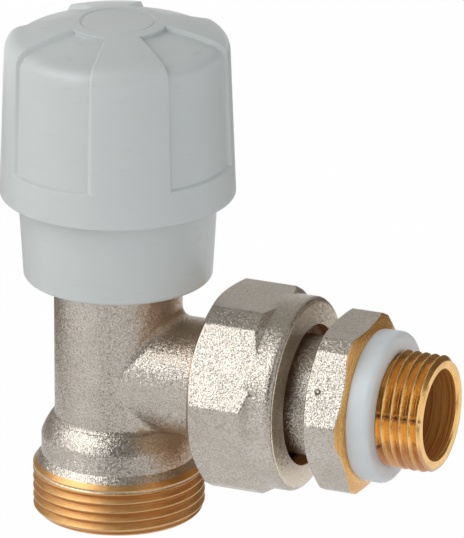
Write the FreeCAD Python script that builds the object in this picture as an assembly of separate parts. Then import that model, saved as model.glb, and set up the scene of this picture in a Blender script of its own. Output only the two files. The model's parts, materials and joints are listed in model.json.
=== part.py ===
import FreeCAD, Part
import math
import os

# Manual radiator valve, angle pattern. Millimetres. The origin is the centre of the pipe
# mouth at the foot, +Z runs up the valve axis and +X runs out along the branch.
# The valve is shut and the union is tight.

# Clearances
THREAD_CLEARANCE = 0.05  # radial, between screwed pieces drawn as plain cylinders
RUNNING_CLEARANCE = 0.05  # radial, between a shaft and its bore
SEAT_GAP = 0.05  # axial, between faces that meet when the valve is shut or the union tight
MOULDING_GAP = 0.3  # between the handwheel and what it turns round
SQUEEZE = 0.025  # each side of a round seal in its groove
EDGE_MATCH = 0.0001  # how near an edge lies to the surfaces that meet in it

# Pipe connection at the foot of the body
PIPE_THREAD_D = 24.5
PIPE_THREAD_LENGTH = 7.0
PIPE_THREAD_CHAMFER = 0.8
PIPE_SOCKET_D = 16.0
PIPE_SOCKET_DEPTH = 9.5
PIPE_MOUTH_CHAMFER = 0.4
RUNOUT_HEIGHT = 0.9
RUNOUT_DEPTH = 0.65

# Body: bell above the pipe thread, column, branch neck
BELL_D = 22.0
BELL_FLARE_HEIGHT = 0.8
BELL_SIDE_HEIGHT = 2.8
SHOULDER_HEIGHT = 2.6
SHOULDER_SAG = 0.1
FOOT_HEIGHT = 0.9
FOOT_STEP = 0.5
FOOT_SAG = 0.15
BRANCH_HEIGHT = 21.5
BRANCH_BORE_D = 11.2
BRANCH_WALL = 2.8
BODY_RISE = 17.5  # body top above the branch axis
COLUMN_STEP = 0.7  # the column stands this much proud of the branch neck
CROTCH_FILLET = 1.6
CHAMBER_D = 14.0
SEAT_BORE_D = 8.8
SEAT_RIM_WALL = 0.7
SEAT_RIM_RISE = 0.8
SEAT_MARGIN = 0.1  # seat rim below the branch bore

# Union: male thread on the branch and the hexagon nut
NECK_SHOWN = 7.0  # branch neck between the column and the nut
UNION_THREAD_D = 22.9
UNION_THREAD_SETBACK = 0.9  # the male thread starts this far inside the nut
UNION_THREAD_LENGTH = 7.4
UNION_THREAD_CHAMFER = 0.6
NUT_WALL = 2.1
NUT_CORNER_RISE = 1.15  # milled corners above the flats
NUT_HEX_LENGTH = 8.6
NUT_END_STEP = 0.3  # the end circle lies this far inside the flats
NUT_CHAMFER_LENGTH = 1.0
NUT_ENTRY_CHAMFER = 0.7
NUT_CONE_LENGTH = 1.0  # the corners fall away to the collar over this length
NUT_COLLAR_RISE = 0.25  # collar above the flats
NUT_EDGE_ROUND = 0.6
NUT_LIP = 2.3
NUT_LIP_CLEARANCE = 0.1  # round the tailpiece's flange
NUT_CROWN = 0.5  # the end face rises this much towards the lip

# Tailpiece
TAIL_BORE_D = 12.7
NOSE_WALL = 2.25
NOSE_LENGTH = 3.1
NOSE_GROOVE_WIDTH = 1.8
NOSE_GROOVE_SETBACK = 0.5
NOSE_SEAL_THICKNESS = 1.35
FLANGE_RISE = 1.3
FLANGE_LENGTH = 0.9
RETAINING_RING_GAP = 0.3
RETAINING_RING_THICKNESS = 1.3
RETAINING_RING_SPLIT = 4.0
TAIL_NECK_WALL = 2.15
TAIL_NECK_SHOWN = 4.0  # neck between the nut and the hexagon
TAIL_HEX_WALL = 5.4
TAIL_CORNER_RISE = 1.1
TAIL_HEX_LENGTH = 6.6
TAIL_CLOCKING = 3.0  # degrees that the hexagon is turned from the level
TAIL_END_STEP = 0.75
TAIL_CHAMFER_LENGTH = 0.8
TAIL_FACE_STEP = 0.95
TAIL_CONE_LENGTH = 1.35
TAIL_THREAD_D = 16.66
TAIL_THREAD_LENGTH = 6.65
TAIL_THREAD_CHAMFER = 0.45
TAIL_MOUTH_CHAMFER = 0.3
TAIL_RELIEF = 0.6  # depth of the groove behind the thread that keeps the sealing ring
SEAL_RING_WALL = 3.0
SEAL_RING_LENGTH = 2.9
SEAL_RING_ROUND = 0.9

# Lift of the plug: turns of the handwheel times the pitch of the spindle
SPINDLE_PITCH = 1.5
OPENING_TURNS = 2.5

# Spindle
STEM_D = 5.9
STEM_ABOVE_GLAND = 0.4
SPINDLE_THREAD_RISE = 1.0
SPINDLE_THREAD_LENGTH = 12.0
SQUARE_CUT = 0.65  # depth of each flat below the stem
SQUARE_HEIGHT = 9.6
SQUARE_CLEARANCE = 0.1
SWIVEL_D = 5.0
SWIVEL_NECK = 1.25  # bare swivel between the plug and the thread
CLIP_DEPTH = 0.4
CLIP_STAND = 0.85
CLIP_THICKNESS = 0.9
CLIP_SPLIT = 1.6
CLIP_SETBACK = 1.5

# Bonnet and its packing
BONNET_REACH = 8.5
BONNET_HEX_FLATS = 17.0
BONNET_HEX_HEIGHT = 5.0
BONNET_NECK_WALL = 1.6
BONNET_GROOVE_HEIGHT = 1.7
BONNET_SEAL_THICKNESS = 1.4
STEM_SHOULDER = 1.8  # bonnet metal between the spindle thread and the packing
PACKING_SPACE = 1.45
PACKING_WASHER_THICKNESS = 0.8
FOLLOWER_REACH = 0.75
GLAND_WALL = 0.95
GLAND_SETBACK = 1.0
GLAND_ROOF = 2.8

# Plug and its seal
PLUG_GAP = 0.8  # round the plug in the chamber
PLUG_LIP = 1.1
PLUG_DISC = 2.2
PLUG_WEB = 0.9
PLUG_HUB_WALL = 0.95
PLUG_STOP_GAP = 0.45  # below the bonnet when the valve is open
SEAL_THICKNESS = 1.8
SEAL_WALL = 0.55
SEAL_WASHER_GAP = 1.1
SEAL_WASHER_THICKNESS = 0.8
SEAL_SCREW_D = 3.0
SEAL_SCREW_HEAD_D = 5.4
SEAL_SCREW_HEAD = 1.7
SEAL_SCREW_ENTRY = 2.0

# Fixed collar below the handwheel
COLLAR_D = 28.2
COLLAR_DROP = 3.6  # below the body top
COLLAR_TAPER = 0.75
COLLAR_WALL = 1.4
COLLAR_ROUND = 0.5
COLLAR_WEB = 1.6
COLLAR_OVERLAP = 6.7  # height of the collar that the handwheel hides
COLLAR_HEX_CLEARANCE = 0.05

# Handwheel
WHEEL_RISE = 8.8  # handwheel rim above the body top
WHEEL_WALL = 2.25
WHEEL_RIM_ROUND = 0.5
WHEEL_SIDE_HEIGHT = 20.4
WHEEL_SIDE_TAPER = 0.75
WHEEL_SHOULDER_REACH = 2.6
WHEEL_SHOULDER_HEIGHT = 3.2
WHEEL_SHOULDER_SAG = 0.85
WHEEL_DOME_HEIGHT = 1.8
WHEEL_DOME_SAG = 0.22
WHEEL_STRAIGHT_HEIGHT = 7.7
WHEEL_INNER_TAPER = 0.6
WHEEL_INNER_ROUND = 2.0
WHEEL_ROOF = 2.8
RIB_COUNT = 4
RIB_ANGLE = 41.0
FIRST_RIB = -59.6
PANEL_DEPTH = 0.5
PANEL_TOP_DEPTH = 0.5
PANEL_BOTTOM_RISE = 5.1
CROWN_WALL = 1.9  # crown between the cover disc and the panels
HUB_WALL = 3.1
HUB_WEB = 2.0
HUB_GAP = 0.9  # above the gland nut when the valve is shut
STIFFENER_THICKNESS = 1.2
STIFFENER_GAP = 1.5
WHEEL_SCREW_D = 3.0
WHEEL_SCREW_HEAD_D = 5.5
WHEEL_SCREW_HEAD = 2.0
WHEEL_SCREW_ROUND = 0.8
WHEEL_SCREW_LENGTH = 7.0
WHEEL_SCREW_TIP_GAP = 0.5
WHEEL_SCREW_WELL_GAP = 0.45
COVER_D = 10.0
COVER_THICKNESS = 1.25
COVER_RECESS = 0.27
COVER_LAND = 0.2

# Radii that follow from the sizes above
neck_r = BRANCH_BORE_D / 2 + BRANCH_WALL
column_r = neck_r + COLUMN_STEP
chamber_r = CHAMBER_D / 2
seat_r = SEAT_BORE_D / 2
stem_r = STEM_D / 2
stem_bore_r = stem_r + RUNNING_CLEARANCE
spindle_thread_r = stem_r + SPINDLE_THREAD_RISE
packing_r = stem_r + PACKING_SPACE
bonnet_neck_r = packing_r + BONNET_NECK_WALL
swivel_r = SWIVEL_D / 2
clip_inner_r = swivel_r - CLIP_DEPTH
clip_outer_r = swivel_r + CLIP_STAND
plug_r = chamber_r - PLUG_GAP
union_r = UNION_THREAD_D / 2
nut_bore_r = union_r + THREAD_CLEARANCE
nut_flat_r = nut_bore_r + NUT_WALL
tail_bore_r = TAIL_BORE_D / 2
nose_r = tail_bore_r + NOSE_WALL
nose_well_r = nose_r + RUNNING_CLEARANCE
flange_r = nose_r + FLANGE_RISE
lip_r = flange_r + NUT_LIP_CLEARANCE
tail_neck_r = tail_bore_r + TAIL_NECK_WALL
tail_flat_r = tail_bore_r + TAIL_HEX_WALL
tail_thread_r = TAIL_THREAD_D / 2
tail_relief_r = tail_thread_r - TAIL_RELIEF
collar_r = COLLAR_D / 2
cavity_r = collar_r + MOULDING_GAP
wheel_r = cavity_r + WHEEL_WALL
square_flats = STEM_D - 2 * SQUARE_CUT
cover_well_r = COVER_D / 2 + RUNNING_CLEARANCE

# Heights that follow from the sizes above
lift = SPINDLE_PITCH * OPENING_TURNS
seat_height = BRANCH_HEIGHT - BRANCH_BORE_D / 2 - SEAT_MARGIN
seat_floor = seat_height - SEAT_RIM_RISE
body_top = BRANCH_HEIGHT + BODY_RISE
bonnet_bottom = body_top - BONNET_REACH
bonnet_hex_top = body_top + BONNET_HEX_HEIGHT
plug_hub_top = bonnet_bottom - PLUG_STOP_GAP - lift
spindle_thread_bottom = plug_hub_top + SWIVEL_NECK
spindle_thread_top = spindle_thread_bottom + SPINDLE_THREAD_LENGTH
thread_bore_top = spindle_thread_top + lift + PLUG_STOP_GAP
packing_floor = thread_bore_top + STEM_SHOULDER
stem_seal_thickness = PACKING_SPACE - 2 * SQUEEZE
stem_seal_floor = packing_floor + PACKING_WASHER_THICKNESS
packing_top = stem_seal_floor + 2 * (stem_seal_thickness + SEAT_GAP)
bonnet_neck_top = packing_top + FOLLOWER_REACH
gland_bottom = bonnet_hex_top + GLAND_SETBACK
gland_top = bonnet_neck_top + SEAT_GAP + GLAND_ROOF
square_bottom = gland_top + STEM_ABOVE_GLAND
square_top = square_bottom + SQUARE_HEIGHT
seal_bottom = seat_height + SEAT_GAP
seal_top = seal_bottom + SEAL_THICKNESS
disc_top = seal_top + PLUG_DISC
swivel_floor = disc_top + PLUG_WEB
clip_bottom = swivel_floor + CLIP_SETBACK
clip_top = clip_bottom + CLIP_THICKNESS
collar_foot = body_top - COLLAR_DROP
wheel_bottom = body_top + WHEEL_RISE
collar_top = wheel_bottom + COLLAR_OVERLAP
side_top = wheel_bottom + WHEEL_SIDE_HEIGHT
shoulder_top = side_top + WHEEL_SHOULDER_HEIGHT
dome_top = shoulder_top + WHEEL_DOME_HEIGHT
cavity_roof = shoulder_top - WHEEL_ROOF
hub_bottom = gland_top + HUB_GAP
socket_roof = square_top + MOULDING_GAP
screw_seat = socket_roof + HUB_WEB
screw_tip = screw_seat - WHEEL_SCREW_LENGTH
cover_top = dome_top - COVER_RECESS
cover_floor = cover_top - COVER_THICKNESS

# Reaches along the branch that follow from the sizes above
nut_start = column_r + NECK_SHOWN
union_thread_start = nut_start + UNION_THREAD_SETBACK
branch_end = union_thread_start + UNION_THREAD_LENGTH
flange_start = branch_end + SEAT_GAP
nose_start = flange_start - NOSE_LENGTH
nose_groove_end = flange_start - NOSE_GROOVE_SETBACK
nose_groove_start = nose_groove_end - NOSE_GROOVE_WIDTH
flange_end = flange_start + FLANGE_LENGTH
ring_start = flange_end + SEAT_GAP
ring_end = ring_start + RETAINING_RING_THICKNESS
lip_start = ring_end + SEAT_GAP
nut_hex_end = nut_start + NUT_HEX_LENGTH
nut_end = lip_start + NUT_LIP
tail_hex_start = nut_end + TAIL_NECK_SHOWN
tail_hex_end = tail_hex_start + TAIL_HEX_LENGTH
seal_ring_end = tail_hex_end + SEAL_RING_LENGTH
tail_thread_start = seal_ring_end + SEAT_GAP
tail_end = tail_thread_start + TAIL_THREAD_LENGTH

QUARTER_SAG = 1 - math.sqrt(0.5)  # rise of a quarter circle above its chord, per unit of radius


def corner_edge(start, end, sag):
    """Straight edge, or an arc that rises by sag to the right of its direction of travel."""
    a = FreeCAD.Vector(start[0], 0, start[1])
    b = FreeCAD.Vector(end[0], 0, end[1])
    if not sag:
        return Part.LineSegment(a, b).toShape()
    along = (b - a).normalize()
    middle = (a + b) * 0.5 + FreeCAD.Vector(along.z, 0, -along.x) * sag
    return Part.Arc(a, middle, b).toShape()


def turned(outline):
    """Solid turned about Z from (radius, height) corners, with a sag third where an arc ends."""
    edges = []
    for start, end in zip(outline, outline[1:] + outline[:1]):
        edges.append(corner_edge(start, end, end[2] if len(end) > 2 else 0))
    face = Part.Face(Part.Wire(edges))
    solid = face.revolve(FreeCAD.Vector(0, 0, 0), FreeCAD.Vector(0, 0, 1), 360)
    if solid.Volume < 0:
        solid.reverse()
    return solid


def tube(inner_r, outer_r, bottom, top):
    """Plain ring about Z."""
    return turned([(inner_r, bottom), (outer_r, bottom), (outer_r, top), (inner_r, top)])


def rod(radius, bottom, top):
    """Plain cylinder about Z."""
    return Part.makeCylinder(radius, top - bottom, FreeCAD.Vector(0, 0, bottom))


def spun(shape, angle):
    """The shape turned about Z by an angle in degrees."""
    turned_shape = shape.copy()
    turned_shape.rotate(FreeCAD.Vector(0, 0, 0), FreeCAD.Vector(0, 0, 1), angle)
    return turned_shape


def prism(sides, across_flats, bottom, top):
    """Regular bar about Z with the middle of one flat on +X."""
    reach = across_flats / 2 / math.cos(math.pi / sides)
    turns = [math.pi / sides * (2 * k + 1) for k in range(sides)]
    corners = [FreeCAD.Vector(reach * math.cos(t), reach * math.sin(t), bottom) for t in turns]
    face = Part.Face(Part.makePolygon(corners + corners[:1]))
    return face.extrude(FreeCAD.Vector(0, 0, top - bottom))


def blunt_hexagon(flat_r, corner_rise, bottom, top):
    """Hexagon bar about Z whose six corners are milled flat."""
    corner_cut = spun(prism(6, 2 * (flat_r + corner_rise), bottom, top), 30)
    return prism(6, 2 * flat_r, bottom, top).common(corner_cut)


def round_seal(inner_r, thickness, middle):
    """Sealing ring of round section about Z, its middle at the given height."""
    return Part.makeTorus(inner_r + thickness / 2, thickness / 2, FreeCAD.Vector(0, 0, middle))


def split(ring, gap, bottom, top):
    """Cuts the gap of a split ring on its +X side."""
    reach = ring.BoundBox.XMax
    slot = Part.makeBox(reach, gap, top - bottom, FreeCAD.Vector(0, -gap / 2, bottom))
    return ring.cut(slot)


def on_branch(shape):
    """Lays a shape made about Z along the branch, so that its heights become reaches in X."""
    laid = shape.copy()
    laid.rotate(FreeCAD.Vector(0, 0, 0), FreeCAD.Vector(0, 1, 0), 90)
    laid.translate(FreeCAD.Vector(0, 0, BRANCH_HEIGHT))
    return laid


def crotch_edges(solid):
    """Edges where the branch neck runs into the column."""
    found = []
    for edge in solid.Edges:
        middle = edge.valueAt((edge.FirstParameter + edge.LastParameter) / 2)
        on_column = abs(math.hypot(middle.x, middle.y) - column_r) < EDGE_MATCH
        on_neck = abs(math.hypot(middle.y, middle.z - BRANCH_HEIGHT) - neck_r) < EDGE_MATCH
        if on_column and on_neck:
            found.append(edge)
    return found


def body_forging():
    """Outside of the body: threaded foot, bell, column and branch with its union thread."""
    pipe_r = PIPE_THREAD_D / 2
    bell_r = BELL_D / 2
    runout_top = PIPE_THREAD_LENGTH + RUNOUT_HEIGHT
    bell_bottom = runout_top + BELL_FLARE_HEIGHT
    bell_top = bell_bottom + BELL_SIDE_HEIGHT
    foot = bell_top + SHOULDER_HEIGHT
    column = rod(column_r, PIPE_THREAD_LENGTH, body_top)
    neck = on_branch(rod(neck_r, 0, nut_start))
    core = column.fuse(neck)
    core = core.makeFillet(CROTCH_FILLET, crotch_edges(core))
    bell = turned([
        (0, 0),
        (pipe_r - PIPE_THREAD_CHAMFER, 0),
        (pipe_r, PIPE_THREAD_CHAMFER),
        (pipe_r, PIPE_THREAD_LENGTH),
        (pipe_r - RUNOUT_DEPTH, runout_top),
        (bell_r, bell_bottom),
        (bell_r, bell_top),
        (column_r + FOOT_STEP, foot, SHOULDER_SAG),
        (column_r, foot + FOOT_HEIGHT, -FOOT_SAG),
        (0, foot + FOOT_HEIGHT),
    ])
    union_end = on_branch(turned([
        (0, nut_start),
        (neck_r, nut_start),
        (union_r, union_thread_start),
        (union_r, branch_end - UNION_THREAD_CHAMFER),
        (union_r - UNION_THREAD_CHAMFER, branch_end),
        (0, branch_end),
    ]))
    return core.fuse([bell, union_end]).removeSplitter()


def valve_body():
    """Body with its pipe socket, seat, chamber and branch waterway bored out."""
    socket_r = PIPE_SOCKET_D / 2
    rim_r = seat_r + SEAT_RIM_WALL
    waterway = turned([
        (0, 0),
        (socket_r + PIPE_MOUTH_CHAMFER, 0),
        (socket_r, PIPE_MOUTH_CHAMFER),
        (socket_r, PIPE_SOCKET_DEPTH),
        (seat_r, PIPE_SOCKET_DEPTH),
        (seat_r, seat_height),
        (rim_r, seat_height),
        (rim_r, seat_floor),
        (chamber_r, seat_floor),
        (chamber_r, body_top),
        (0, body_top),
    ])
    bore_r = BRANCH_BORE_D / 2
    branch = on_branch(turned([
        (0, 0),
        (bore_r, 0),
        (bore_r, nose_start - SEAT_GAP),
        (nose_well_r, nose_start - SEAT_GAP),
        (nose_well_r, branch_end),
        (0, branch_end),
    ]))
    return body_forging().cut([waterway, branch])


def bonnet():
    """Headwork: screwed spigot, hexagon, packing neck and the bored way for the spindle."""
    groove_bottom = body_top - BONNET_GROOVE_HEIGHT
    groove_r = chamber_r - BONNET_SEAL_THICKNESS - 2 * SQUEEZE
    thread_bore_r = spindle_thread_r + THREAD_CLEARANCE
    spigot = rod(chamber_r - THREAD_CLEARANCE, bonnet_bottom, groove_bottom)
    groove = rod(groove_r, groove_bottom, body_top)
    hexagon = prism(6, BONNET_HEX_FLATS, body_top, bonnet_hex_top)
    neck = rod(bonnet_neck_r, bonnet_hex_top, bonnet_neck_top)
    way = turned([
        (0, bonnet_bottom),
        (thread_bore_r, bonnet_bottom),
        (thread_bore_r, thread_bore_top),
        (stem_bore_r, thread_bore_top),
        (stem_bore_r, packing_floor),
        (packing_r, packing_floor),
        (packing_r, bonnet_neck_top),
        (0, bonnet_neck_top),
    ])
    return spigot.fuse([groove, hexagon, neck]).removeSplitter().cut(way)


def bonnet_o_ring():
    """Seal in the groove below the bonnet's hexagon."""
    inner_r = chamber_r - BONNET_SEAL_THICKNESS - SQUEEZE
    return round_seal(inner_r, BONNET_SEAL_THICKNESS, body_top - BONNET_GROOVE_HEIGHT / 2)


def packing_washer():
    """Flat ring on the floor of the packing chamber."""
    return tube(stem_bore_r, packing_r - RUNNING_CLEARANCE, packing_floor, stem_seal_floor)


def stem_o_ring(place):
    """Spindle seal, counted from the packing washer up."""
    first = stem_seal_floor + stem_seal_thickness / 2
    step = stem_seal_thickness + SEAT_GAP
    return round_seal(stem_r + SQUEEZE, stem_seal_thickness, first + step * place)


def gland_nut():
    """Cap nut on the bonnet's neck, with a follower that closes the packing chamber."""
    neck_bore_r = bonnet_neck_r + THREAD_CLEARANCE
    follower_r = packing_r - RUNNING_CLEARANCE
    roof = bonnet_neck_top + SEAT_GAP
    inside = turned([
        (0, gland_bottom),
        (neck_bore_r, gland_bottom),
        (neck_bore_r, roof),
        (follower_r, roof),
        (follower_r, packing_top),
        (stem_bore_r, packing_top),
        (stem_bore_r, gland_top),
        (0, gland_top),
    ])
    return prism(6, 2 * (neck_bore_r + GLAND_WALL), gland_bottom, gland_top).cut(inside)


def collar_outer_r(height):
    """Radius of the collar's tapered outside at a height below the handwheel."""
    share = (wheel_bottom - height) / (wheel_bottom - collar_foot)
    return collar_r - COLLAR_TAPER * share


def skirt_collar():
    """Tapered plastic cup that hides the bonnet, carried on the body by a web with a hexagon hole."""
    foot_r = collar_r - COLLAR_TAPER
    round_top = collar_foot + COLLAR_ROUND
    wall = turned([
        (foot_r - COLLAR_WALL, collar_foot),
        (foot_r - COLLAR_ROUND, collar_foot),
        (collar_outer_r(round_top), round_top, COLLAR_ROUND * QUARTER_SAG),
        (collar_r, wheel_bottom),
        (collar_r, collar_top),
        (collar_r - COLLAR_WALL, collar_top),
        (collar_r - COLLAR_WALL, wheel_bottom),
    ])
    web_top = body_top + COLLAR_WEB
    web = rod(collar_outer_r(body_top) - COLLAR_WALL / 2, body_top, web_top)
    hole = prism(6, BONNET_HEX_FLATS + 2 * COLLAR_HEX_CLEARANCE, body_top, web_top)
    return wall.fuse(web.cut(hole)).removeSplitter()


def wheel_skin(side_depth, top_depth, inner_r):
    """Corners of the handwheel's outside above the rim, sunk by the given depths."""
    side_r = wheel_r - WHEEL_SIDE_TAPER - side_depth
    shoulder_r = side_r - WHEEL_SHOULDER_REACH
    crown_r = cover_well_r + COVER_LAND
    share = (shoulder_r - inner_r) / (shoulder_r - crown_r)
    return [
        (side_r, side_top - top_depth),
        (shoulder_r, shoulder_top - top_depth, WHEEL_SHOULDER_SAG),
        (inner_r, shoulder_top + WHEEL_DOME_HEIGHT * share - top_depth, WHEEL_DOME_SAG),
    ]


def wheel_panels():
    """Cutters for the sunk panels between the handwheel's ribs."""
    panel_bottom = wheel_bottom + PANEL_BOTTOM_RISE
    inner_r = cover_well_r + CROWN_WALL
    above = dome_top + PANEL_TOP_DEPTH
    outside_r = wheel_r + PANEL_DEPTH
    ring = turned(
        [(wheel_r - PANEL_DEPTH, panel_bottom)]
        + wheel_skin(PANEL_DEPTH, PANEL_TOP_DEPTH, inner_r)
        + [(inner_r, above), (outside_r, above), (outside_r, panel_bottom)]
    )
    pitch = 360 / RIB_COUNT
    axis = (FreeCAD.Vector(0, 0, 0), FreeCAD.Vector(0, 0, 1))
    sector = Part.makeCylinder(2 * wheel_r, 2 * above, *axis, pitch - RIB_ANGLE)
    first = FIRST_RIB + RIB_ANGLE / 2
    return [ring.common(spun(sector, first + pitch * k)) for k in range(RIB_COUNT)]


def wheel_stiffeners():
    """Radial webs under the roof, from the hub to the rim wall, one under each rib."""
    bottom = max(collar_top, gland_top) + STIFFENER_GAP
    reach = cavity_r + (WHEEL_WALL - PANEL_DEPTH - WHEEL_SIDE_TAPER) / 2
    corner = FreeCAD.Vector(0, -STIFFENER_THICKNESS / 2, bottom)
    web = Part.makeBox(reach, STIFFENER_THICKNESS, cavity_roof - bottom, corner)
    return [spun(web, FIRST_RIB + 360 / RIB_COUNT * k) for k in range(RIB_COUNT)]


def handwheel():
    """Moulded handwheel: domed shell with four broad ribs, hub, stiffeners and square socket."""
    shell = turned(
        [(0, wheel_bottom), (wheel_r - WHEEL_RIM_ROUND, wheel_bottom)]
        + [(wheel_r, wheel_bottom + WHEEL_RIM_ROUND, WHEEL_RIM_ROUND * QUARTER_SAG)]
        + wheel_skin(0, 0, cover_well_r + COVER_LAND)
        + [(cover_well_r, dome_top), (0, dome_top)]
    )
    inner_r = cavity_r - WHEEL_INNER_TAPER
    cavity = turned([
        (0, wheel_bottom),
        (cavity_r, wheel_bottom),
        (cavity_r, wheel_bottom + WHEEL_STRAIGHT_HEIGHT),
        (inner_r, cavity_roof - WHEEL_INNER_ROUND),
        (inner_r - WHEEL_INNER_ROUND, cavity_roof, WHEEL_INNER_ROUND * QUARTER_SAG),
        (0, cavity_roof),
    ])
    socket_flats = square_flats + 2 * SQUARE_CLEARANCE
    hub = rod(socket_flats / 2 + HUB_WALL, hub_bottom, cavity_roof)
    socket = prism(4, socket_flats, hub_bottom, socket_roof)
    screw_r = WHEEL_SCREW_D / 2 + SQUARE_CLEARANCE
    well_r = WHEEL_SCREW_HEAD_D / 2 + WHEEL_SCREW_WELL_GAP
    screw_way = turned([
        (0, socket_roof),
        (screw_r, socket_roof),
        (screw_r, screw_seat),
        (well_r, screw_seat),
        (well_r, cover_floor),
        (cover_well_r, cover_floor),
        (cover_well_r, dome_top),
        (0, dome_top),
    ])
    wheel = shell.cut([cavity] + wheel_panels())
    wheel = wheel.fuse([hub] + wheel_stiffeners()).removeSplitter()
    return wheel.cut([socket, screw_way])


def handwheel_cover_disc():
    """Plain round cover in the well on top of the handwheel."""
    return rod(COVER_D / 2, cover_floor, cover_top)


def handwheel_screw():
    """Pan head screw through the hub into the top of the spindle."""
    head_r = WHEEL_SCREW_HEAD_D / 2
    head_top = screw_seat + WHEEL_SCREW_HEAD
    return turned([
        (0, screw_tip),
        (WHEEL_SCREW_D / 2, screw_tip),
        (WHEEL_SCREW_D / 2, screw_seat),
        (head_r, screw_seat),
        (head_r, head_top - WHEEL_SCREW_ROUND),
        (head_r - WHEEL_SCREW_ROUND, head_top, WHEEL_SCREW_ROUND * QUARTER_SAG),
        (0, head_top),
    ])


def spindle():
    """Screw spindle: swivel end for the plug, thread, smooth stem, milled square."""
    turning = turned([
        (0, swivel_floor + SEAT_GAP),
        (swivel_r, swivel_floor + SEAT_GAP),
        (swivel_r, clip_bottom - SEAT_GAP),
        (clip_inner_r, clip_bottom - SEAT_GAP),
        (clip_inner_r, clip_top + SEAT_GAP),
        (swivel_r, clip_top + SEAT_GAP),
        (swivel_r, spindle_thread_bottom),
        (spindle_thread_r, spindle_thread_bottom),
        (spindle_thread_r, spindle_thread_top),
        (stem_r, spindle_thread_top),
        (stem_r, square_bottom),
        (0, square_bottom),
    ])
    square = prism(4, square_flats, square_bottom, square_top)
    square = square.common(rod(stem_r, square_bottom, square_top))
    hole_r = WHEEL_SCREW_D / 2 + THREAD_CLEARANCE
    hole = rod(hole_r, screw_tip - WHEEL_SCREW_TIP_GAP, square_top)
    return turning.fuse(square).cut(hole)


def plug():
    """Swivelling plug: cup for the seal below, hub with the clip's groove above."""
    cup_bottom = seal_top - PLUG_LIP
    groove_r = clip_outer_r + RUNNING_CLEARANCE
    hub_r = groove_r + PLUG_HUB_WALL
    outside = turned([
        (0, cup_bottom),
        (plug_r, cup_bottom),
        (plug_r, disc_top),
        (hub_r, disc_top),
        (hub_r, plug_hub_top),
        (0, plug_hub_top),
    ])
    screw_r = SEAL_SCREW_D / 2 + THREAD_CLEARANCE
    cup = rod(plug_r - SEAL_WALL, cup_bottom, seal_top)
    screw_hole = rod(screw_r, seal_top, seal_top + SEAL_SCREW_ENTRY + SEAT_GAP)
    swivel = rod(swivel_r + RUNNING_CLEARANCE, swivel_floor, plug_hub_top)
    groove = rod(groove_r, clip_bottom - SEAT_GAP, clip_top + SEAT_GAP)
    return outside.cut([cup, screw_hole, swivel, groove])


def plug_clip():
    """Split ring that holds the plug on the spindle."""
    ring = tube(clip_inner_r + RUNNING_CLEARANCE, clip_outer_r, clip_bottom, clip_top)
    return split(ring, CLIP_SPLIT, clip_bottom, clip_top)


def seat_seal():
    """Rubber disc in the plug's cup."""
    hole_r = SEAL_SCREW_D / 2 + RUNNING_CLEARANCE
    return tube(hole_r, plug_r - SEAL_WALL - RUNNING_CLEARANCE, seal_bottom, seal_top)


def seal_washer():
    """Washer that spreads the screw's grip on the rubber disc."""
    hole_r = SEAL_SCREW_D / 2 + RUNNING_CLEARANCE
    return tube(hole_r, seat_r - SEAL_WASHER_GAP, seal_bottom - SEAL_WASHER_THICKNESS, seal_bottom)


def seal_screw():
    """Screw that holds the rubber disc and its washer on the plug."""
    head_top = seal_bottom - SEAL_WASHER_THICKNESS
    head = rod(SEAL_SCREW_HEAD_D / 2, head_top - SEAL_SCREW_HEAD, head_top)
    shank = rod(SEAL_SCREW_D / 2, head_top, seal_top + SEAL_SCREW_ENTRY)
    return head.fuse(shank).removeSplitter()


def hexagon_reach(flat_r, corner_rise):
    """Distance from the axis to the sharp edges of a hexagon with milled corners."""
    half_flat = (flat_r + corner_rise - flat_r * math.cos(math.pi / 6)) / math.sin(math.pi / 6)
    return math.hypot(flat_r, half_flat)


def union_nut():
    """Union nut: blunt hexagon, round chamfered end, cone down to a round collar, inner lip."""
    reach = hexagon_reach(nut_flat_r, NUT_CORNER_RISE)
    end_r = nut_flat_r - NUT_END_STEP
    nut_collar_r = nut_flat_r + NUT_COLLAR_RISE
    cone_end = nut_hex_end + NUT_CONE_LENGTH
    # both cones run on to twice their rise, well clear of the corners
    turning = turned([
        (0, nut_start),
        (end_r, nut_start),
        (2 * reach - end_r, nut_start + 2 * NUT_CHAMFER_LENGTH),
        (2 * reach - nut_collar_r, cone_end - 2 * NUT_CONE_LENGTH),
        (nut_collar_r, cone_end),
        (0, cone_end),
    ])
    hexagon = blunt_hexagon(nut_flat_r, NUT_CORNER_RISE, nut_start, cone_end)
    collar = turned([
        (0, nut_hex_end),
        (nut_collar_r, nut_hex_end),
        (nut_collar_r, nut_end - NUT_EDGE_ROUND),
        (nut_collar_r - NUT_EDGE_ROUND, nut_end, NUT_EDGE_ROUND * QUARTER_SAG),
        (lip_r, nut_end + NUT_CROWN),
        (0, nut_end + NUT_CROWN),
    ])
    inside = turned([
        (0, nut_start),
        (nut_bore_r + NUT_ENTRY_CHAMFER, nut_start),
        (nut_bore_r, nut_start + NUT_ENTRY_CHAMFER),
        (nut_bore_r, lip_start),
        (lip_r, lip_start),
        (lip_r, nut_end + NUT_CROWN),
        (0, nut_end + NUT_CROWN),
    ])
    nut = hexagon.common(turning).fuse(collar).removeSplitter()
    return on_branch(nut.cut(inside))


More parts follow.
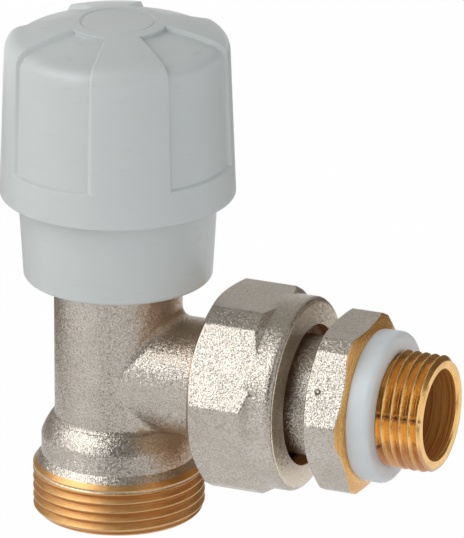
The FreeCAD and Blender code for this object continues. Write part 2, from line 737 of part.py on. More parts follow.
def tail_hexagon():
    """Blunt hexagon of the tailpiece, coned at both ends and turned by its clocking."""
    reach = hexagon_reach(tail_flat_r, TAIL_CORNER_RISE)
    end_r = tail_flat_r - TAIL_END_STEP
    face_r = tail_flat_r - TAIL_FACE_STEP
    # both cones run on to twice their rise, well clear of the corners
    turning = turned([
        (0, tail_hex_start),
        (end_r, tail_hex_start),
        (2 * reach - end_r, tail_hex_start + 2 * TAIL_CHAMFER_LENGTH),
        (2 * reach - face_r, tail_hex_end - 2 * TAIL_CONE_LENGTH),
        (face_r, tail_hex_end),
        (0, tail_hex_end),
    ])
    hexagon = blunt_hexagon(tail_flat_r, TAIL_CORNER_RISE, tail_hex_start, tail_hex_end)
    return spun(hexagon, TAIL_CLOCKING).common(turning)


def tailpiece():
    """Tailpiece: sealed nose, flange, neck, hexagon and radiator thread, bored through."""
    groove_r = nose_well_r - NOSE_SEAL_THICKNESS - 2 * SQUEEZE
    turning = turned([
        (0, nose_start),
        (nose_r, nose_start),
        (nose_r, nose_groove_start),
        (groove_r, nose_groove_start),
        (groove_r, nose_groove_end),
        (nose_r, nose_groove_end),
        (nose_r, flange_start),
        (flange_r, flange_start),
        (flange_r, flange_end),
        (tail_neck_r, flange_end),
        (tail_neck_r, tail_hex_start),
        (tail_relief_r, tail_hex_start),
        (tail_relief_r, tail_thread_start),
        (tail_thread_r, tail_thread_start),
        (tail_thread_r, tail_end - TAIL_THREAD_CHAMFER),
        (tail_thread_r - TAIL_THREAD_CHAMFER, tail_end),
        (0, tail_end),
    ])
    bore = turned([
        (0, nose_start),
        (tail_bore_r, nose_start),
        (tail_bore_r, tail_end - TAIL_MOUTH_CHAMFER),
        (tail_bore_r + TAIL_MOUTH_CHAMFER, tail_end),
        (0, tail_end),
    ])
    return on_branch(turning.fuse(tail_hexagon()).removeSplitter().cut(bore))


def tail_o_ring():
    """Seal round the tailpiece's nose."""
    inner_r = nose_well_r - NOSE_SEAL_THICKNESS - SQUEEZE
    middle = (nose_groove_start + nose_groove_end) / 2
    return on_branch(round_seal(inner_r, NOSE_SEAL_THICKNESS, middle))


def nut_retaining_ring():
    """Split ring behind the tailpiece's flange that the nut's lip pulls on."""
    outer_r = nut_bore_r - RETAINING_RING_GAP
    ring = tube(tail_neck_r + RUNNING_CLEARANCE, outer_r, ring_start, ring_end)
    return on_branch(split(ring, RETAINING_RING_SPLIT, ring_start, ring_end))


def tail_seal_ring():
    """Soft ring between the tailpiece's hexagon and the radiator."""
    inner_r = tail_relief_r + RUNNING_CLEARANCE
    outer_r = inner_r + SEAL_RING_WALL
    return on_branch(turned([
        (inner_r, tail_hex_end),
        (outer_r, tail_hex_end),
        (outer_r, seal_ring_end - SEAL_RING_ROUND),
        (outer_r - SEAL_RING_ROUND, seal_ring_end, SEAL_RING_ROUND * QUARTER_SAG),
        (inner_r, seal_ring_end),
    ]))


PIECES = {
    "valve_body": valve_body(),
    "bonnet": bonnet(),
    "bonnet_o_ring": bonnet_o_ring(),
    "packing_washer": packing_washer(),
    "stem_o_ring_lower": stem_o_ring(0),
    "stem_o_ring_upper": stem_o_ring(1),
    "gland_nut": gland_nut(),
    "skirt_collar": skirt_collar(),
    "handwheel": handwheel(),
    "handwheel_cover_disc": handwheel_cover_disc(),
    "handwheel_screw": handwheel_screw(),
    "spindle": spindle(),
    "plug": plug(),
    "plug_clip": plug_clip(),
    "seat_seal": seat_seal(),
    "seal_washer": seal_washer(),
    "seal_screw": seal_screw(),
    "union_nut": union_nut(),
    "tailpiece": tailpiece(),
    "tail_o_ring": tail_o_ring(),
    "nut_retaining_ring": nut_retaining_ring(),
    "tail_seal_ring": tail_seal_ring(),
}

os.makedirs("parts", exist_ok=True)
for name, shape in PIECES.items():
    shape.exportStep(f"parts/{name}.step")
    print(f"{name}: {len(shape.Solids)} solid, valid {shape.isValid()}, {shape.Volume:.1f} mm3")
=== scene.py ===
# %% [markdown]
# # Manual radiator valve, angle pattern
# This lesson dresses a finished valve model. The solid pieces come in as a fixed frame, and each
# visible surface then gets its real form and finish: threads, soft moulded ribs, rounded nut edges,
# blasted nickel, bare brass and matt plastic. The pieces are measured in millimetres. Finishes, lamps
# and cards are in metres, as Blender counts.

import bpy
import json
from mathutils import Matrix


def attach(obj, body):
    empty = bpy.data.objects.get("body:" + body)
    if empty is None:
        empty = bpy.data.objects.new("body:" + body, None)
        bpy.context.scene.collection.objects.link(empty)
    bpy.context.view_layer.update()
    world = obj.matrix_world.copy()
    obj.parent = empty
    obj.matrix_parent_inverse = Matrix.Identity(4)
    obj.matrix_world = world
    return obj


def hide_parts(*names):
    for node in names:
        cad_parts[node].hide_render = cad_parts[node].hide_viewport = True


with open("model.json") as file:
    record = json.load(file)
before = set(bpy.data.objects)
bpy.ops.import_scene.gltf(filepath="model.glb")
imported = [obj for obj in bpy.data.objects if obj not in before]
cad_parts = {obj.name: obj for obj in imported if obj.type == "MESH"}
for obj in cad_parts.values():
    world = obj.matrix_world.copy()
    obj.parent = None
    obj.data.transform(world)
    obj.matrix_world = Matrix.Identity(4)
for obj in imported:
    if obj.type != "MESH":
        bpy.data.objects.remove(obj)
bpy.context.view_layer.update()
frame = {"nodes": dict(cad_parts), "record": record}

# %% [markdown]
# ## From numbers to a mesh
# Nearly every visible piece of a valve was turned on a lathe or moulded in a round tool. Such a form
# can be spun, or drawn as a profile with a screw modifier. Here it is a grid instead: rows run along
# the profile, columns run round the axis, and numpy moves whole rows at once. That leaves room for
# ribs, flats and screw threads, which a plain spin can't give.

# %% Mesh from a grid
import json
import math

import bmesh
import bpy
import numpy as np

MM = 0.001
WELD, SLIVER = 2e-6, 1e-7


def grid_piece(name, grid, body, slot, loop=True, closed=True, sharp=40, **marks):
    """Object from points of shape (rows, columns, 3). Each quad joins four neighbours. The columns
    close round the axis unless the grid's last column already lies on its first, and the rows close
    too where the profile is a loop. Points that coincide, as on the axis, are merged, and marks are
    kept as one number for each point."""
    rows, columns = grid.shape[:2]
    here = np.arange(rows * columns).reshape(rows, columns)
    right = np.roll(here, -1, 1)
    quads = np.stack([here, right, np.roll(right, -1, 0), np.roll(here, -1, 0)], -1)
    quads = quads if loop else quads[:-1]
    quads = (quads if closed else quads[:, :-1]).reshape(-1, 4)
    mesh = bpy.data.meshes.new(name)
    mesh.from_pydata((grid * MM).reshape(-1, 3), [], quads)
    for mark_name, values in marks.items():
        layer = mesh.attributes.new(mark_name, "FLOAT", "POINT")
        every_point = np.broadcast_to(values, (rows, columns)).ravel()
        layer.data.foreach_set("value", every_point.astype(np.float32))
    return finished(name, mesh, body, sharp)


def finished(name, mesh, body, sharp):
    """Welds a mesh, turns its faces outwards, shades it smooth but for real edges, and lets it ride."""
    shape = bmesh.new()
    shape.from_mesh(mesh)
    bmesh.ops.remove_doubles(shape, verts=shape.verts, dist=WELD)
    bmesh.ops.dissolve_degenerate(shape, edges=shape.edges, dist=SLIVER)
    bmesh.ops.recalc_face_normals(shape, faces=shape.faces)
    shape.to_mesh(mesh)
    shape.free()
    mesh.shade_smooth()
    mesh.set_sharp_from_angle(angle=math.radians(sharp))
    piece = bpy.data.objects.new(name, mesh)
    bpy.context.scene.collection.objects.link(piece)
    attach(piece, body)
    mesh.calc_loop_triangles()
    print(name, len(mesh.loop_triangles), "triangles")
    return piece


# %% [markdown]
# ## Formulas that the pieces share
# Turned and moulded pieces are made of straight runs, rounded corners and smooth steps. These could be
# drawn by hand as curves. As short formulas they serve every piece.

# %% Smooth steps and rounded edges
def eased(x):
    """0 below 0, 1 above 1, and the smooth cubic x * x * (3 - 2 x) between them."""
    x = np.clip(x, 0, 1)
    return x * x * (3 - 2 * x)


def hump(x):
    """1 at 0, falling off on both sides as exp(-x * x)."""
    return np.exp(-(x ** 2))


def soft_min(blend, *heights):
    """Rounded minimum: -blend * ln(sum of exp(-height / blend)), so that sharp edges become small
    radii."""
    stack = np.stack(np.broadcast_arrays(*heights))
    low = stack.min(0)
    return low - blend * np.log(np.exp((low - stack) / blend).sum(0))


# %% Profiles
NO_LENGTH = 1e-9


def stations(places, steps):
    """Numbers that go from place to place, with a given count of even steps in each span."""
    return np.interp(np.arange(sum(steps) + 1), np.cumsum([0, *steps]), places)


def run(start, end, count, sag=0.0):
    """Points from start up to, but without, end on a parabola that bulges by sag to the right."""
    start, end = np.array(start, float), np.array(end, float)
    along = (end - start) / np.linalg.norm(end - start)
    share = np.arange(count)[:, None] / count
    bulge = sag * np.array([along[1], -along[0]])
    return start + (end - start) * share + 4 * share * (1 - share) * bulge


def rounded(corners, steps=6):
    """Polyline with parabolic corners, each given by two coordinates and a reach. At corner P with
    reach c the curve goes from A, c before P, to B, c after P, as
    (1 - s)^2 A + 2 s (1 - s) P + s^2 B."""
    table = np.array(corners, float)
    point, reach = table[:, :2], table[:, 2:]
    back, on = np.roll(point, 1, 0) - point, np.roll(point, -1, 0) - point
    a = point + reach * back / np.maximum(np.linalg.norm(back, axis=1, keepdims=True), NO_LENGTH)
    b = point + reach * on / np.maximum(np.linalg.norm(on, axis=1, keepdims=True), NO_LENGTH)
    s = np.linspace(0, 1, steps)[None, :, None]
    curve = (1 - s) ** 2 * a[:, None] + 2 * s * (1 - s) * point[:, None] + s ** 2 * b[:, None]
    return curve.reshape(-1, 2)


# %% Turning a profile round an axis
BRANCH_HEIGHT = 21.5


def about_valve(radius, height, angle):
    """Points at a radius and a height round the upright valve axis."""
    radius, height, angle = np.broadcast_arrays(radius, height, angle)
    return np.stack([radius * np.cos(angle), radius * np.sin(angle), height], -1)


def about_branch(reach, radius, angle):
    """Points at a radius round the branch axis, angle 0 straight down, at a reach from the valve
    axis."""
    reach, radius, angle = np.broadcast_arrays(reach, radius, angle)
    return np.stack([reach, radius * np.sin(angle), BRANCH_HEIGHT - radius * np.cos(angle)], -1)


def whole_turn(count):
    """Even angles round a full turn, the last one short of the first."""
    return (np.arange(count) * 2 * np.pi / count)[None, :]


def off_centre(angle, centre, period=2 * np.pi):
    """Signed angle from the nearest repeat of a centre: angle less centre, wrapped to within half a
    period on either side."""
    return (angle - centre + period / 2) % period - period / 2


def crowded_turn(count, period, centre, where, spread, extra):
    """Angles round a full turn that crowd at a given distance either side of each repeat of centre:
    the inverse of the running sum of a density 1 + extra * exp(-(offset / spread)^2)."""
    even = np.linspace(0, 2 * np.pi, 20001)
    away = np.abs(off_centre(even, centre, period))
    density = 1 + extra * hump((away - where) / spread)
    total = np.concatenate([[0], np.cumsum((density[1:] + density[:-1]) / 2)])
    return np.interp(np.arange(count) / count * total[-1], total, even)[None, :]


def all_round(column, turn):
    """One number for each row, repeated at every angle of a turn."""
    return np.repeat(column, turn.shape[1], 1)


print("formulas ready")

# %% [markdown]
# ## The handwheel
# The handwheel is a plastic moulding: a tapered cup with a domed top and four broad ribs. Between the
# ribs the skin is sunk by about half a millimetre, with soft edges where the tool was rounded.
# Cutting panels and bevelling them gives an even edge all round. A smooth mask on the grid is nearer
# to the moulding, because the step can be soft at the sides and crisper on the dome.

# %% Handwheel profile, outside
RIM_R, RIM_LOW, RIM_ROUND, RIM_BULGE = 16.65, 47.8, 0.2, 0.29
SIDE_R, SIDE_TOP = 15.9, 68.2
SHOULDER_R, SHOULDER_TOP, SHOULDER_BULGE = 13.3, 71.4, 0.95
CROWN_R, CROWN_TOP, DOME_BULGE = 5.25, 73.2, 0.22
PANEL_LOW, PANEL_INNER_R, PANEL_MARGIN = 52.9, 7.05, 0.5
SOFT_ROWS, CRISP_RIM_ROWS, CRISP_CROWN_ROWS = 9, 20, 6


def on_side(height):
    """Point of the tapered side at a height: a straight line from the rim to the shoulder."""
    share = (height - RIM_LOW - RIM_ROUND) / (SIDE_TOP - RIM_LOW - RIM_ROUND)
    return RIM_R + (SIDE_R - RIM_R) * share, height


# Rows crowd at both ends of the panels. A running mean then softens the profile between rim and crown.
dome = run((SHOULDER_R, SHOULDER_TOP), (CROWN_R, CROWN_TOP), 4000, DOME_BULGE)
dome_radii = stations(
    (SHOULDER_R, PANEL_INNER_R + PANEL_MARGIN, PANEL_INNER_R - PANEL_MARGIN, CROWN_R), (36, 30, 12))
outside = np.concatenate([
    run((RIM_R - RIM_ROUND, RIM_LOW), (RIM_R, RIM_LOW + RIM_ROUND), 8, RIM_ROUND * RIM_BULGE),
    run((RIM_R, RIM_LOW + RIM_ROUND), on_side(PANEL_LOW - PANEL_MARGIN), 20),
    run(on_side(PANEL_LOW - PANEL_MARGIN), on_side(PANEL_LOW + PANEL_MARGIN), 30),
    run(on_side(PANEL_LOW + PANEL_MARGIN), (SIDE_R, SIDE_TOP), 60),
    run((SIDE_R, SIDE_TOP), (SHOULDER_R, SHOULDER_TOP), 26, SHOULDER_BULGE),
    dome[np.searchsorted(-dome[:, 0], -dome_radii[:-1])],
])
weight = np.ones(SOFT_ROWS) / SOFT_ROWS
padded_skin = np.pad(outside, ((SOFT_ROWS // 2, SOFT_ROWS // 2), (0, 0)), mode="edge")
softened = np.stack([np.convolve(padded_skin[:, k], weight, "valid") for k in (0, 1)], -1)
soft_part = slice(CRISP_RIM_ROWS, -CRISP_CROWN_ROWS)
outside[soft_part] = softened[soft_part]
print("outside of the handwheel", len(outside), "rows")

# %% Handwheel profile, inside
WELL_R, WELL_FLOOR = 5.02, 71.68
CAVITY_R, CAVITY_ROOF, CAVITY_ROOF_R, CAVITY_WAIST = 14.4, 68.6, 13.8, 55.5
HUB_R, HUB_LOW, SOCKET_HALF, SOCKET_ROOF = 5.5, 53.75, 2.4, 63.15
SCREW_R, SCREW_SEAT, SCREW_WELL_R = 1.6, 65.15, 3.2

# Each corner is a radius, a height and the reach of its rounding.
middle = rounded([
    (CROWN_R, CROWN_TOP, 0.15), (WELL_R, CROWN_TOP - 0.06, 0.02), (WELL_R, WELL_FLOOR, 0),
    (SCREW_WELL_R, WELL_FLOOR, 0.05), (SCREW_WELL_R, SCREW_SEAT, 0.05),
    (SCREW_R, SCREW_SEAT, 0.05), (SCREW_R, SOCKET_ROOF, 0)], 4)
socket = run((SOCKET_HALF, SOCKET_ROOF), (SOCKET_HALF, HUB_LOW), 4)
inside = rounded([
    (HUB_R - 0.3, HUB_LOW, 0), (HUB_R, HUB_LOW, 0.25), (HUB_R, CAVITY_ROOF, 0.4),
    (CAVITY_ROOF_R, CAVITY_ROOF, 2.0), (CAVITY_R, CAVITY_WAIST, 0.5), (CAVITY_R, RIM_LOW, 0.2)])
skin = np.concatenate([outside, middle, socket, inside])
print("whole handwheel profile", len(skin), "rows")

# %% Handwheel skin with ribs
WHEEL_COLUMNS, RIBS = 340, 4
RIB_PERIOD = 2 * np.pi / RIBS
RIB_ANGLE, FIRST_RIB, RIB_CROWDING = math.radians(41.0), math.radians(-59.6), math.radians(2.0)
RIB_EDGE_TOP, RIB_EDGE_MORE, RIB_EDGE_SPAN = 0.4, 0.3, 12
PANEL_SINK, PANEL_TOP_SINK, PANEL_STEP = 0.5, 0.6, 0.3

turn = crowded_turn(WHEEL_COLUMNS, RIB_PERIOD, FIRST_RIB, RIB_ANGLE / 2, RIB_CROWDING, 6)
radius, height = all_round(skin[:, :1], turn), skin[:, 1:]
off_rib = np.abs(off_centre(turn, FIRST_RIB, RIB_PERIOD)) - RIB_ANGLE / 2
edge_width = RIB_EDGE_TOP + RIB_EDGE_MORE * eased((SIDE_TOP - height) / RIB_EDGE_SPAN)
inward = np.minimum(off_rib * radius / edge_width, (height - PANEL_LOW) / PANEL_STEP)
inward = np.clip(np.minimum(inward, (radius - PANEL_INNER_R) / PANEL_STEP) + 0.5, 0, 1)
sunk = 1 - np.cos(inward * np.pi / 2)
sunk[len(outside):] = 0
down = PANEL_TOP_SINK * eased((height - PANEL_LOW) / (SIDE_TOP - PANEL_LOW))
in_socket = slice(len(outside) + len(middle), len(outside) + len(middle) + len(socket))
radius[in_socket] = SOCKET_HALF / np.cos(off_centre(turn, 0, np.pi / 2))
handwheel = grid_piece(
    "handwheel_shell", about_valve(radius - PANEL_SINK * sunk, height - down * sunk, turn),
    "handwheel", "grey_moulding", sharp=50)
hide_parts("handwheel")

# %% Stiffening webs under the handwheel's roof
WEB_THICKNESS, WEB_LOW, WEB_REACH, WEB_OVERLAP = 1.2, 56.0, 14.9, 0.2


def stiffening_web(name, angle):
    """Box from the hub to the wall: two rings of four corners, each closed by the middle of its
    end."""
    web_inner, web_top = HUB_R - WEB_OVERLAP, CAVITY_ROOF + WEB_OVERLAP
    swell = np.array([0, 1, 1, 0])[:, None]
    across = np.array([-1, 1, 1, -1]) * WEB_THICKNESS / 2 * swell
    level = np.array([WEB_LOW, WEB_LOW, web_top, web_top])
    level = level.mean() + (level - level.mean()) * swell
    outward = np.array([web_inner, web_inner, WEB_REACH, WEB_REACH])[:, None]
    corner = np.stack([outward * math.cos(angle) - across * math.sin(angle),
                       outward * math.sin(angle) + across * math.cos(angle), level], -1)
    return grid_piece(name, corner, "handwheel", "grey_moulding", loop=False)


webs = [stiffening_web(f"handwheel_web_{k + 1}", FIRST_RIB + k * RIB_PERIOD) for k in range(RIBS)]

# %% [markdown]
# ## The cover disc
# A small round cover closes the screw's well on top of the handwheel. It could be a cylinder with a
# bevel. Here it is a short profile turned round the axis, nearly level with the crown, and only the
# small radius of its rim catches the light apart from the crown.

# %% Cover disc
COVER_R, COVER_TOP, COVER_EDGE, COVER_COLUMNS = 5.0, 73.12, 0.05, 160

disc = rounded([
    (0, WELL_FLOOR, 0), (COVER_R, WELL_FLOOR, COVER_EDGE),
    (COVER_R, COVER_TOP, COVER_EDGE), (0, COVER_TOP, 0)])
cover = grid_piece(
    "cover_disc", about_valve(disc[:, :1], disc[:, 1:], whole_turn(COVER_COLUMNS)),
    "handwheel", "grey_moulding", loop=False)
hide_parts("handwheel_cover_disc")

# %% [markdown]
# ## The union nut
# The nut is forged with milled flats. Its six corners are milled flat as well, one end is turned to a
# chamfer, and the other end falls in a cone to a round collar. All of these are simple limits on the
# distance from the axis, so the nut is their rounded minimum. The roundness is small, as on the real
# nut after blasting, and it is what lets each edge carry a thin bright line.

# %% Hexagon with milled corners
SIXTH, HEX_BLEND = np.pi / 3, 0.05


def blunt_hexagon(angle, flat, corner):
    """Distance to the nearer of a flat, flat / cos(a), and a milled corner, corner / cos(30 - a),
    where a is the angle from the middle of the nearest flat."""
    a = np.abs(off_centre(angle, 0, SIXTH))
    return soft_min(HEX_BLEND, flat / np.cos(a), corner / np.cos(SIXTH / 2 - a))


def sharp_edge(flat, corner):
    """Angle from the middle of a flat to its edge, and the edge's distance from the axis."""
    half = (corner - flat * math.cos(SIXTH / 2)) / math.sin(SIXTH / 2)
    return math.atan2(half, flat), math.hypot(flat, half)


NUT_FLAT, NUT_CORNER = 13.6, 14.75
nut_edge, nut_reach = sharp_edge(NUT_FLAT, NUT_CORNER)
print("nut edges", round(math.degrees(nut_edge), 2), "degrees off,", round(nut_reach, 2), "mm out")

# %% Union nut, outside and bore
NUT_COLUMNS, NUT_CROWDING, NUT_BLEND = 520, math.radians(1.6), 0.04
NUT_START, NUT_CHAMFER_END, NUT_MIDDLE_END = 16.1, 17.5, 23.6
NUT_HEX_END, NUT_CONE_END, CONE_EASE = 24.7, 25.7, 0.25
NUT_COLLAR_R, NUT_END_R = 13.85, 13.3
NUT_RIM, NUT_RIM_R, NUT_FACE, NUT_EDGE, NUT_EDGE_BULGE = 29.05, 13.25, 29.55, 0.6, -0.1
LIP_R, LIP_START, NUT_BORE_R, NUT_ENTRY, NUT_ENTRY_R = 10.0, 26.75, 11.5, 16.8, 12.2

nut_turn = crowded_turn(NUT_COLUMNS, SIXTH, 0, nut_edge, NUT_CROWDING, 5)
along = stations((NUT_START, NUT_CHAMFER_END, NUT_MIDDLE_END, NUT_CONE_END), (16, 10, 39))[:, None]
chamfer = NUT_END_R + (nut_reach - NUT_END_R) * (along - NUT_START)
cone = NUT_COLLAR_R + (nut_reach - NUT_COLLAR_R) * (NUT_CONE_END - along)
forged = soft_min(NUT_BLEND, blunt_hexagon(nut_turn, NUT_FLAT, NUT_CORNER), chamfer, cone)
forged = np.maximum(forged, NUT_COLLAR_R * eased((along - NUT_HEX_END) / CONE_EASE + 1))
# Each corner is a reach along the branch, a radius and the reach of its rounding.
rest = np.concatenate([
    run((NUT_CONE_END, NUT_COLLAR_R), (NUT_RIM - NUT_EDGE, NUT_COLLAR_R), 4),
    run((NUT_RIM - NUT_EDGE, NUT_COLLAR_R), (NUT_RIM, NUT_RIM_R), 8, NUT_EDGE_BULGE),
    rounded([
        (NUT_RIM, NUT_RIM_R, 0.03), (NUT_RIM + 0.1, NUT_RIM_R - 0.14, 0.03),
        (NUT_FACE, LIP_R + 0.1, 0.05), (NUT_FACE - 0.1, LIP_R, 0.05), (LIP_START, LIP_R, 0.05),
        (LIP_START, NUT_BORE_R, 0.1), (NUT_ENTRY, NUT_BORE_R, 0.1), (NUT_START, NUT_ENTRY_R, 0.1),
        (NUT_START, NUT_END_R - 0.1, 0)])])
print("union nut", len(along) + len(rest), "rows")

# %% Union nut, bare edges and mesh
TURNED_EDGE, EDGE_FADE, DEEP_INSIDE, INSIDE_FADE = 0.3, 0.1, 25, 2
FACE_WEAR, FACE_FROM, RIM_SHEEN, RIM_SHEEN_WIDTH = 0.12, 0.08, 0.05, 0.07
BORE_SOIL, EDGE_SOIL = 0.8, 0.4

rest_reach, rest_r = rest[:, :1], rest[:, 1:]
reach = np.concatenate([along, rest_reach])
out = np.concatenate([forged, all_round(rest_r, nut_turn)])
inner_skin = eased((LIP_R + 0.12 - rest_r) / EDGE_FADE) + eased((DEEP_INSIDE - rest_reach) / INSIDE_FADE)
inner_skin = np.maximum(inner_skin, FACE_WEAR * (rest_reach > NUT_RIM + FACE_FROM))
# A thin band just past the rim is painted pale: partly wear at the edge, partly a painted highlight.
rim_sheen_line = hump((rest_reach - NUT_RIM - RIM_SHEEN) / RIM_SHEEN_WIDTH) * (rest_r > NUT_RIM_R - 0.2)
cut = np.concatenate([eased((NUT_START + TURNED_EDGE - along) / EDGE_FADE), inner_skin])
soil = np.where(reach > NUT_START + TURNED_EDGE, BORE_SOIL, EDGE_SOIL) * (cut > 0.9)
rim_wear_and_sheen = np.concatenate([np.zeros_like(along), rim_sheen_line])
nut = grid_piece("union_nut_shell", about_branch(reach, out, nut_turn), "union_nut", "plated_brass",
                 bare=np.clip(cut, 0, 1), groove=soil, worn=rim_wear_and_sheen)
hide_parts("union_nut")

# %% [markdown]
# ## Screw threads
# The valve has three outside threads, all pipe threads with rounded crests: 1.337 mm pitch at the foot
# and at the tail, and a coarser one under the nut. A thread can be a screwed profile, but it then
# needs trimming at both ends. As a surface it is a cylinder whose radius rises and falls with the
# distance along the axis, less the pitch's share of the turn. The wave has straight flanks and narrow
# rounded crests. The rows of the grid climb with the thread, so that each crest is one smooth line of
# points. The chamfer at the free end is one more limit.

# %% Thread groove
PITCH, ROWS_PER_PITCH = 1.337, 32
CREST_SHARPNESS, CREST_BLEND, CREST_WEAR_AND_SHEEN, CREST_WIDTH = 0.98, 0.03, 0.5, 0.16


def groove_share(along_axis, angle, pitch=PITCH):
    """0 on the crest and 1 at the root of a right-hand groove: half of 1 - asin(k cos(phase)) / asin(k),
    a triangle wave whose corners round as k drops. The phase is a full turn for each pitch along the
    axis, less the angle round it."""
    wave = np.cos(2 * np.pi * along_axis / pitch - angle)
    return (1 - np.arcsin(CREST_SHARPNESS * wave) / math.asin(CREST_SHARPNESS)) / 2


def helical_rows(start, end, angle, pitch=PITCH):
    """Places along the axis whose rows climb one pitch in a turn, cut off at both ends. Each row then
    stays at one depth of the groove, and its end at a full turn meets the row a pitch further on."""
    count = math.ceil((end - start) / pitch + 1) * ROWS_PER_PITCH + 1
    first = np.arange(count)[:, None] * pitch / ROWS_PER_PITCH + start - pitch
    return np.clip(first + pitch * angle / (2 * np.pi), start, end)


def thread_angles(columns):
    """Angles of a full turn with both ends, because a helical row doesn't end where it began."""
    return np.linspace(0, 2 * np.pi, columns)[None, :]


def crest_sheen_line(groove):
    """Wear along the top of the crest, also painted paler as a highlight, falling to 0 a little way down
    its flanks.
    """
    return CREST_WEAR_AND_SHEEN * eased(1 - groove / CREST_WIDTH)


print("thread pitch", PITCH)

# %% [markdown]
# ## The tailpiece
# The tailpiece is one turned bar: a nose in the branch, a neck that shows behind the nut, a hexagon,
# and the radiator thread. It was plated before the thread and the hexagon's last cone were cut, so
# these are bare brass. The border between cone and flats is scalloped. The same rounded minimum that
# shapes the hexagon says how much of each point belongs to the cone, and that share marks bare metal.

# %% Tailpiece hexagon
TAIL_COLUMNS, TAIL_CROWDING, CLOCKING = 480, math.radians(1.8), math.radians(3)
HEX_START, HEX_FRONT_END, HEX_BACK_START, HEX_END = 33.05, 34.2, 37.6, 39.65
TAIL_FLAT, TAIL_CORNER = 11.75, 12.85
FRONT_CONE_R, FRONT_CONE_LENGTH, BACK_CONE_SLOPE, CONE_BORDER = 11.0, 0.8, 2.66, 0.06
RING_START, RING_R = 39.2, 10.78

tail_edge, tail_reach = sharp_edge(TAIL_FLAT, TAIL_CORNER)
tail_turn = crowded_turn(TAIL_COLUMNS, SIXTH, CLOCKING, tail_edge, TAIL_CROWDING, 5)
along = stations((HEX_START, HEX_FRONT_END, HEX_BACK_START, HEX_END), (16, 8, 33))[:, None]
front_cone = FRONT_CONE_R + (tail_reach - FRONT_CONE_R) * (along - HEX_START) / FRONT_CONE_LENGTH
back_cone = RING_R + BACK_CONE_SLOPE * (RING_START - along)
bar = blunt_hexagon(tail_turn - CLOCKING, TAIL_FLAT, TAIL_CORNER)
hexagon = soft_min(HEX_BLEND, bar, front_cone, back_cone)
on_cone = eased((soft_min(HEX_BLEND, bar, front_cone) - back_cone) / CONE_BORDER + 0.5)
print("tail hexagon", hexagon.shape)

# %% Tailpiece bar
NOSE_START, NOSE_R, TAIL_BORE_R = 21.35, 8.6, 6.35
SEAL_START, SEAL_END, SEAL_R = 22.15, 23.95, 7.25
FLANGE_START, FLANGE_END, FLANGE_R = 24.45, 25.35, 9.9
NECK_R, HEX_FRONT_R, HEX_BACK_R, RELIEF_R, THREAD_START = 8.5, 10.9, 9.5, 7.73, 42.6
TAIL_BORE_SOIL, CONE_PAINTED_SHADE = 0.75, 0.5

front = rounded([
    (NOSE_START, TAIL_BORE_R, 0), (NOSE_START, NOSE_R, 0.2), (SEAL_START, NOSE_R, 0.05),
    (SEAL_START, SEAL_R, 0.05), (SEAL_END, SEAL_R, 0.05),
    (SEAL_END, NOSE_R, 0.05), (FLANGE_START, NOSE_R, 0), (FLANGE_START, FLANGE_R, 0.1),
    (FLANGE_END, FLANGE_R, 0.1), (FLANGE_END, NECK_R, 0.1), (HEX_START, NECK_R, 0.35),
    (HEX_START, HEX_FRONT_R, 0)])
back = rounded([
    (HEX_END, HEX_BACK_R, 0), (HEX_END, RELIEF_R, 0),
    (THREAD_START, RELIEF_R, 0), (THREAD_START, TAIL_BORE_R, 0)])
front_r, back_r = all_round(front[:, 1:], tail_turn), all_round(back[:, 1:], tail_turn)
reach = np.concatenate([front[:, :1], along, back[:, :1]])
out = np.concatenate([front_r, hexagon, back_r])
in_bore = 1.0 * (front_r < TAIL_BORE_R + 0.01)
cut = np.concatenate([in_bore, on_cone, np.ones_like(back_r)])
# The back cone is painted browner and duller all over: painted shade between the hexagon and the ring.
soil_and_painted_shade = np.concatenate([TAIL_BORE_SOIL * in_bore, CONE_PAINTED_SHADE * on_cone, np.zeros_like(back_r)])
tail = grid_piece("tailpiece_bar", about_branch(reach, out, tail_turn), "tailpiece", "plated_brass",
                  bare=cut, groove=soil_and_painted_shade, worn=0.0)
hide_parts("tailpiece")

# %% [markdown]
# ## The radiator thread
# The thread was cut last, and handling since has left a small nick across its crests and a few dark
# spots. The nick is painted dark as well as cut, and the underside is painted browner as painted
# shade. Spots could be painted on. Here the distance to each spot is worked out on the grid and kept
# as a mark, which the finish reads.

# %% Radiator thread, nick and spots
THREAD_COLUMNS, THREAD_R, TAIL_END, TAIL_GROOVE, TAIL_TIP_R = 241, 8.33, 49.25, 0.72, 7.88
NICK_ANGLE, NICK_WIDTH, NICK_DEPTH = math.radians(-102), 0.24, 0.1
SPOTS = np.array([(48.5, -74.5, 0.20), (44.65, -60.0, 0.18), (42.7, -65.6, 0.25), (46.0, -40.0, 0.15)])

thread_turn = thread_angles(THREAD_COLUMNS)
along = helical_rows(THREAD_START, TAIL_END, thread_turn)
groove = groove_share(along - THREAD_START, thread_turn)
nick = hump(off_centre(thread_turn, NICK_ANGLE) * THREAD_R / NICK_WIDTH) * eased(groove / 0.3)
spot_reach, spot_angle, spot_size = [column[:, None, None] for column in SPOTS.T]
from_spot = off_centre(thread_turn[None], np.radians(spot_angle)) * THREAD_R
spot = hump(np.hypot(along[None] - spot_reach, from_spot) / spot_size).max(0)
crest = soft_min(CREST_BLEND, THREAD_R, TAIL_TIP_R + (TAIL_END - along))
thread = np.minimum(THREAD_R - TAIL_GROOVE * groove, crest) - NICK_DEPTH * nick
print("radiator thread", thread.shape)

# %% Radiator thread, mouth and mesh
MOUTH_OUTER_R, MOUTH_R, MOUTH_END = 7.1, 6.65, 48.95
GROOVE_SOIL, UNDERSIDE_SHADE, UNDERSIDE_SHADE_FADE, DARK_SPOTS_AND_NICK, MOUTH_SOIL = 0.5, 0.72, 0.45, 1.6, 0.82

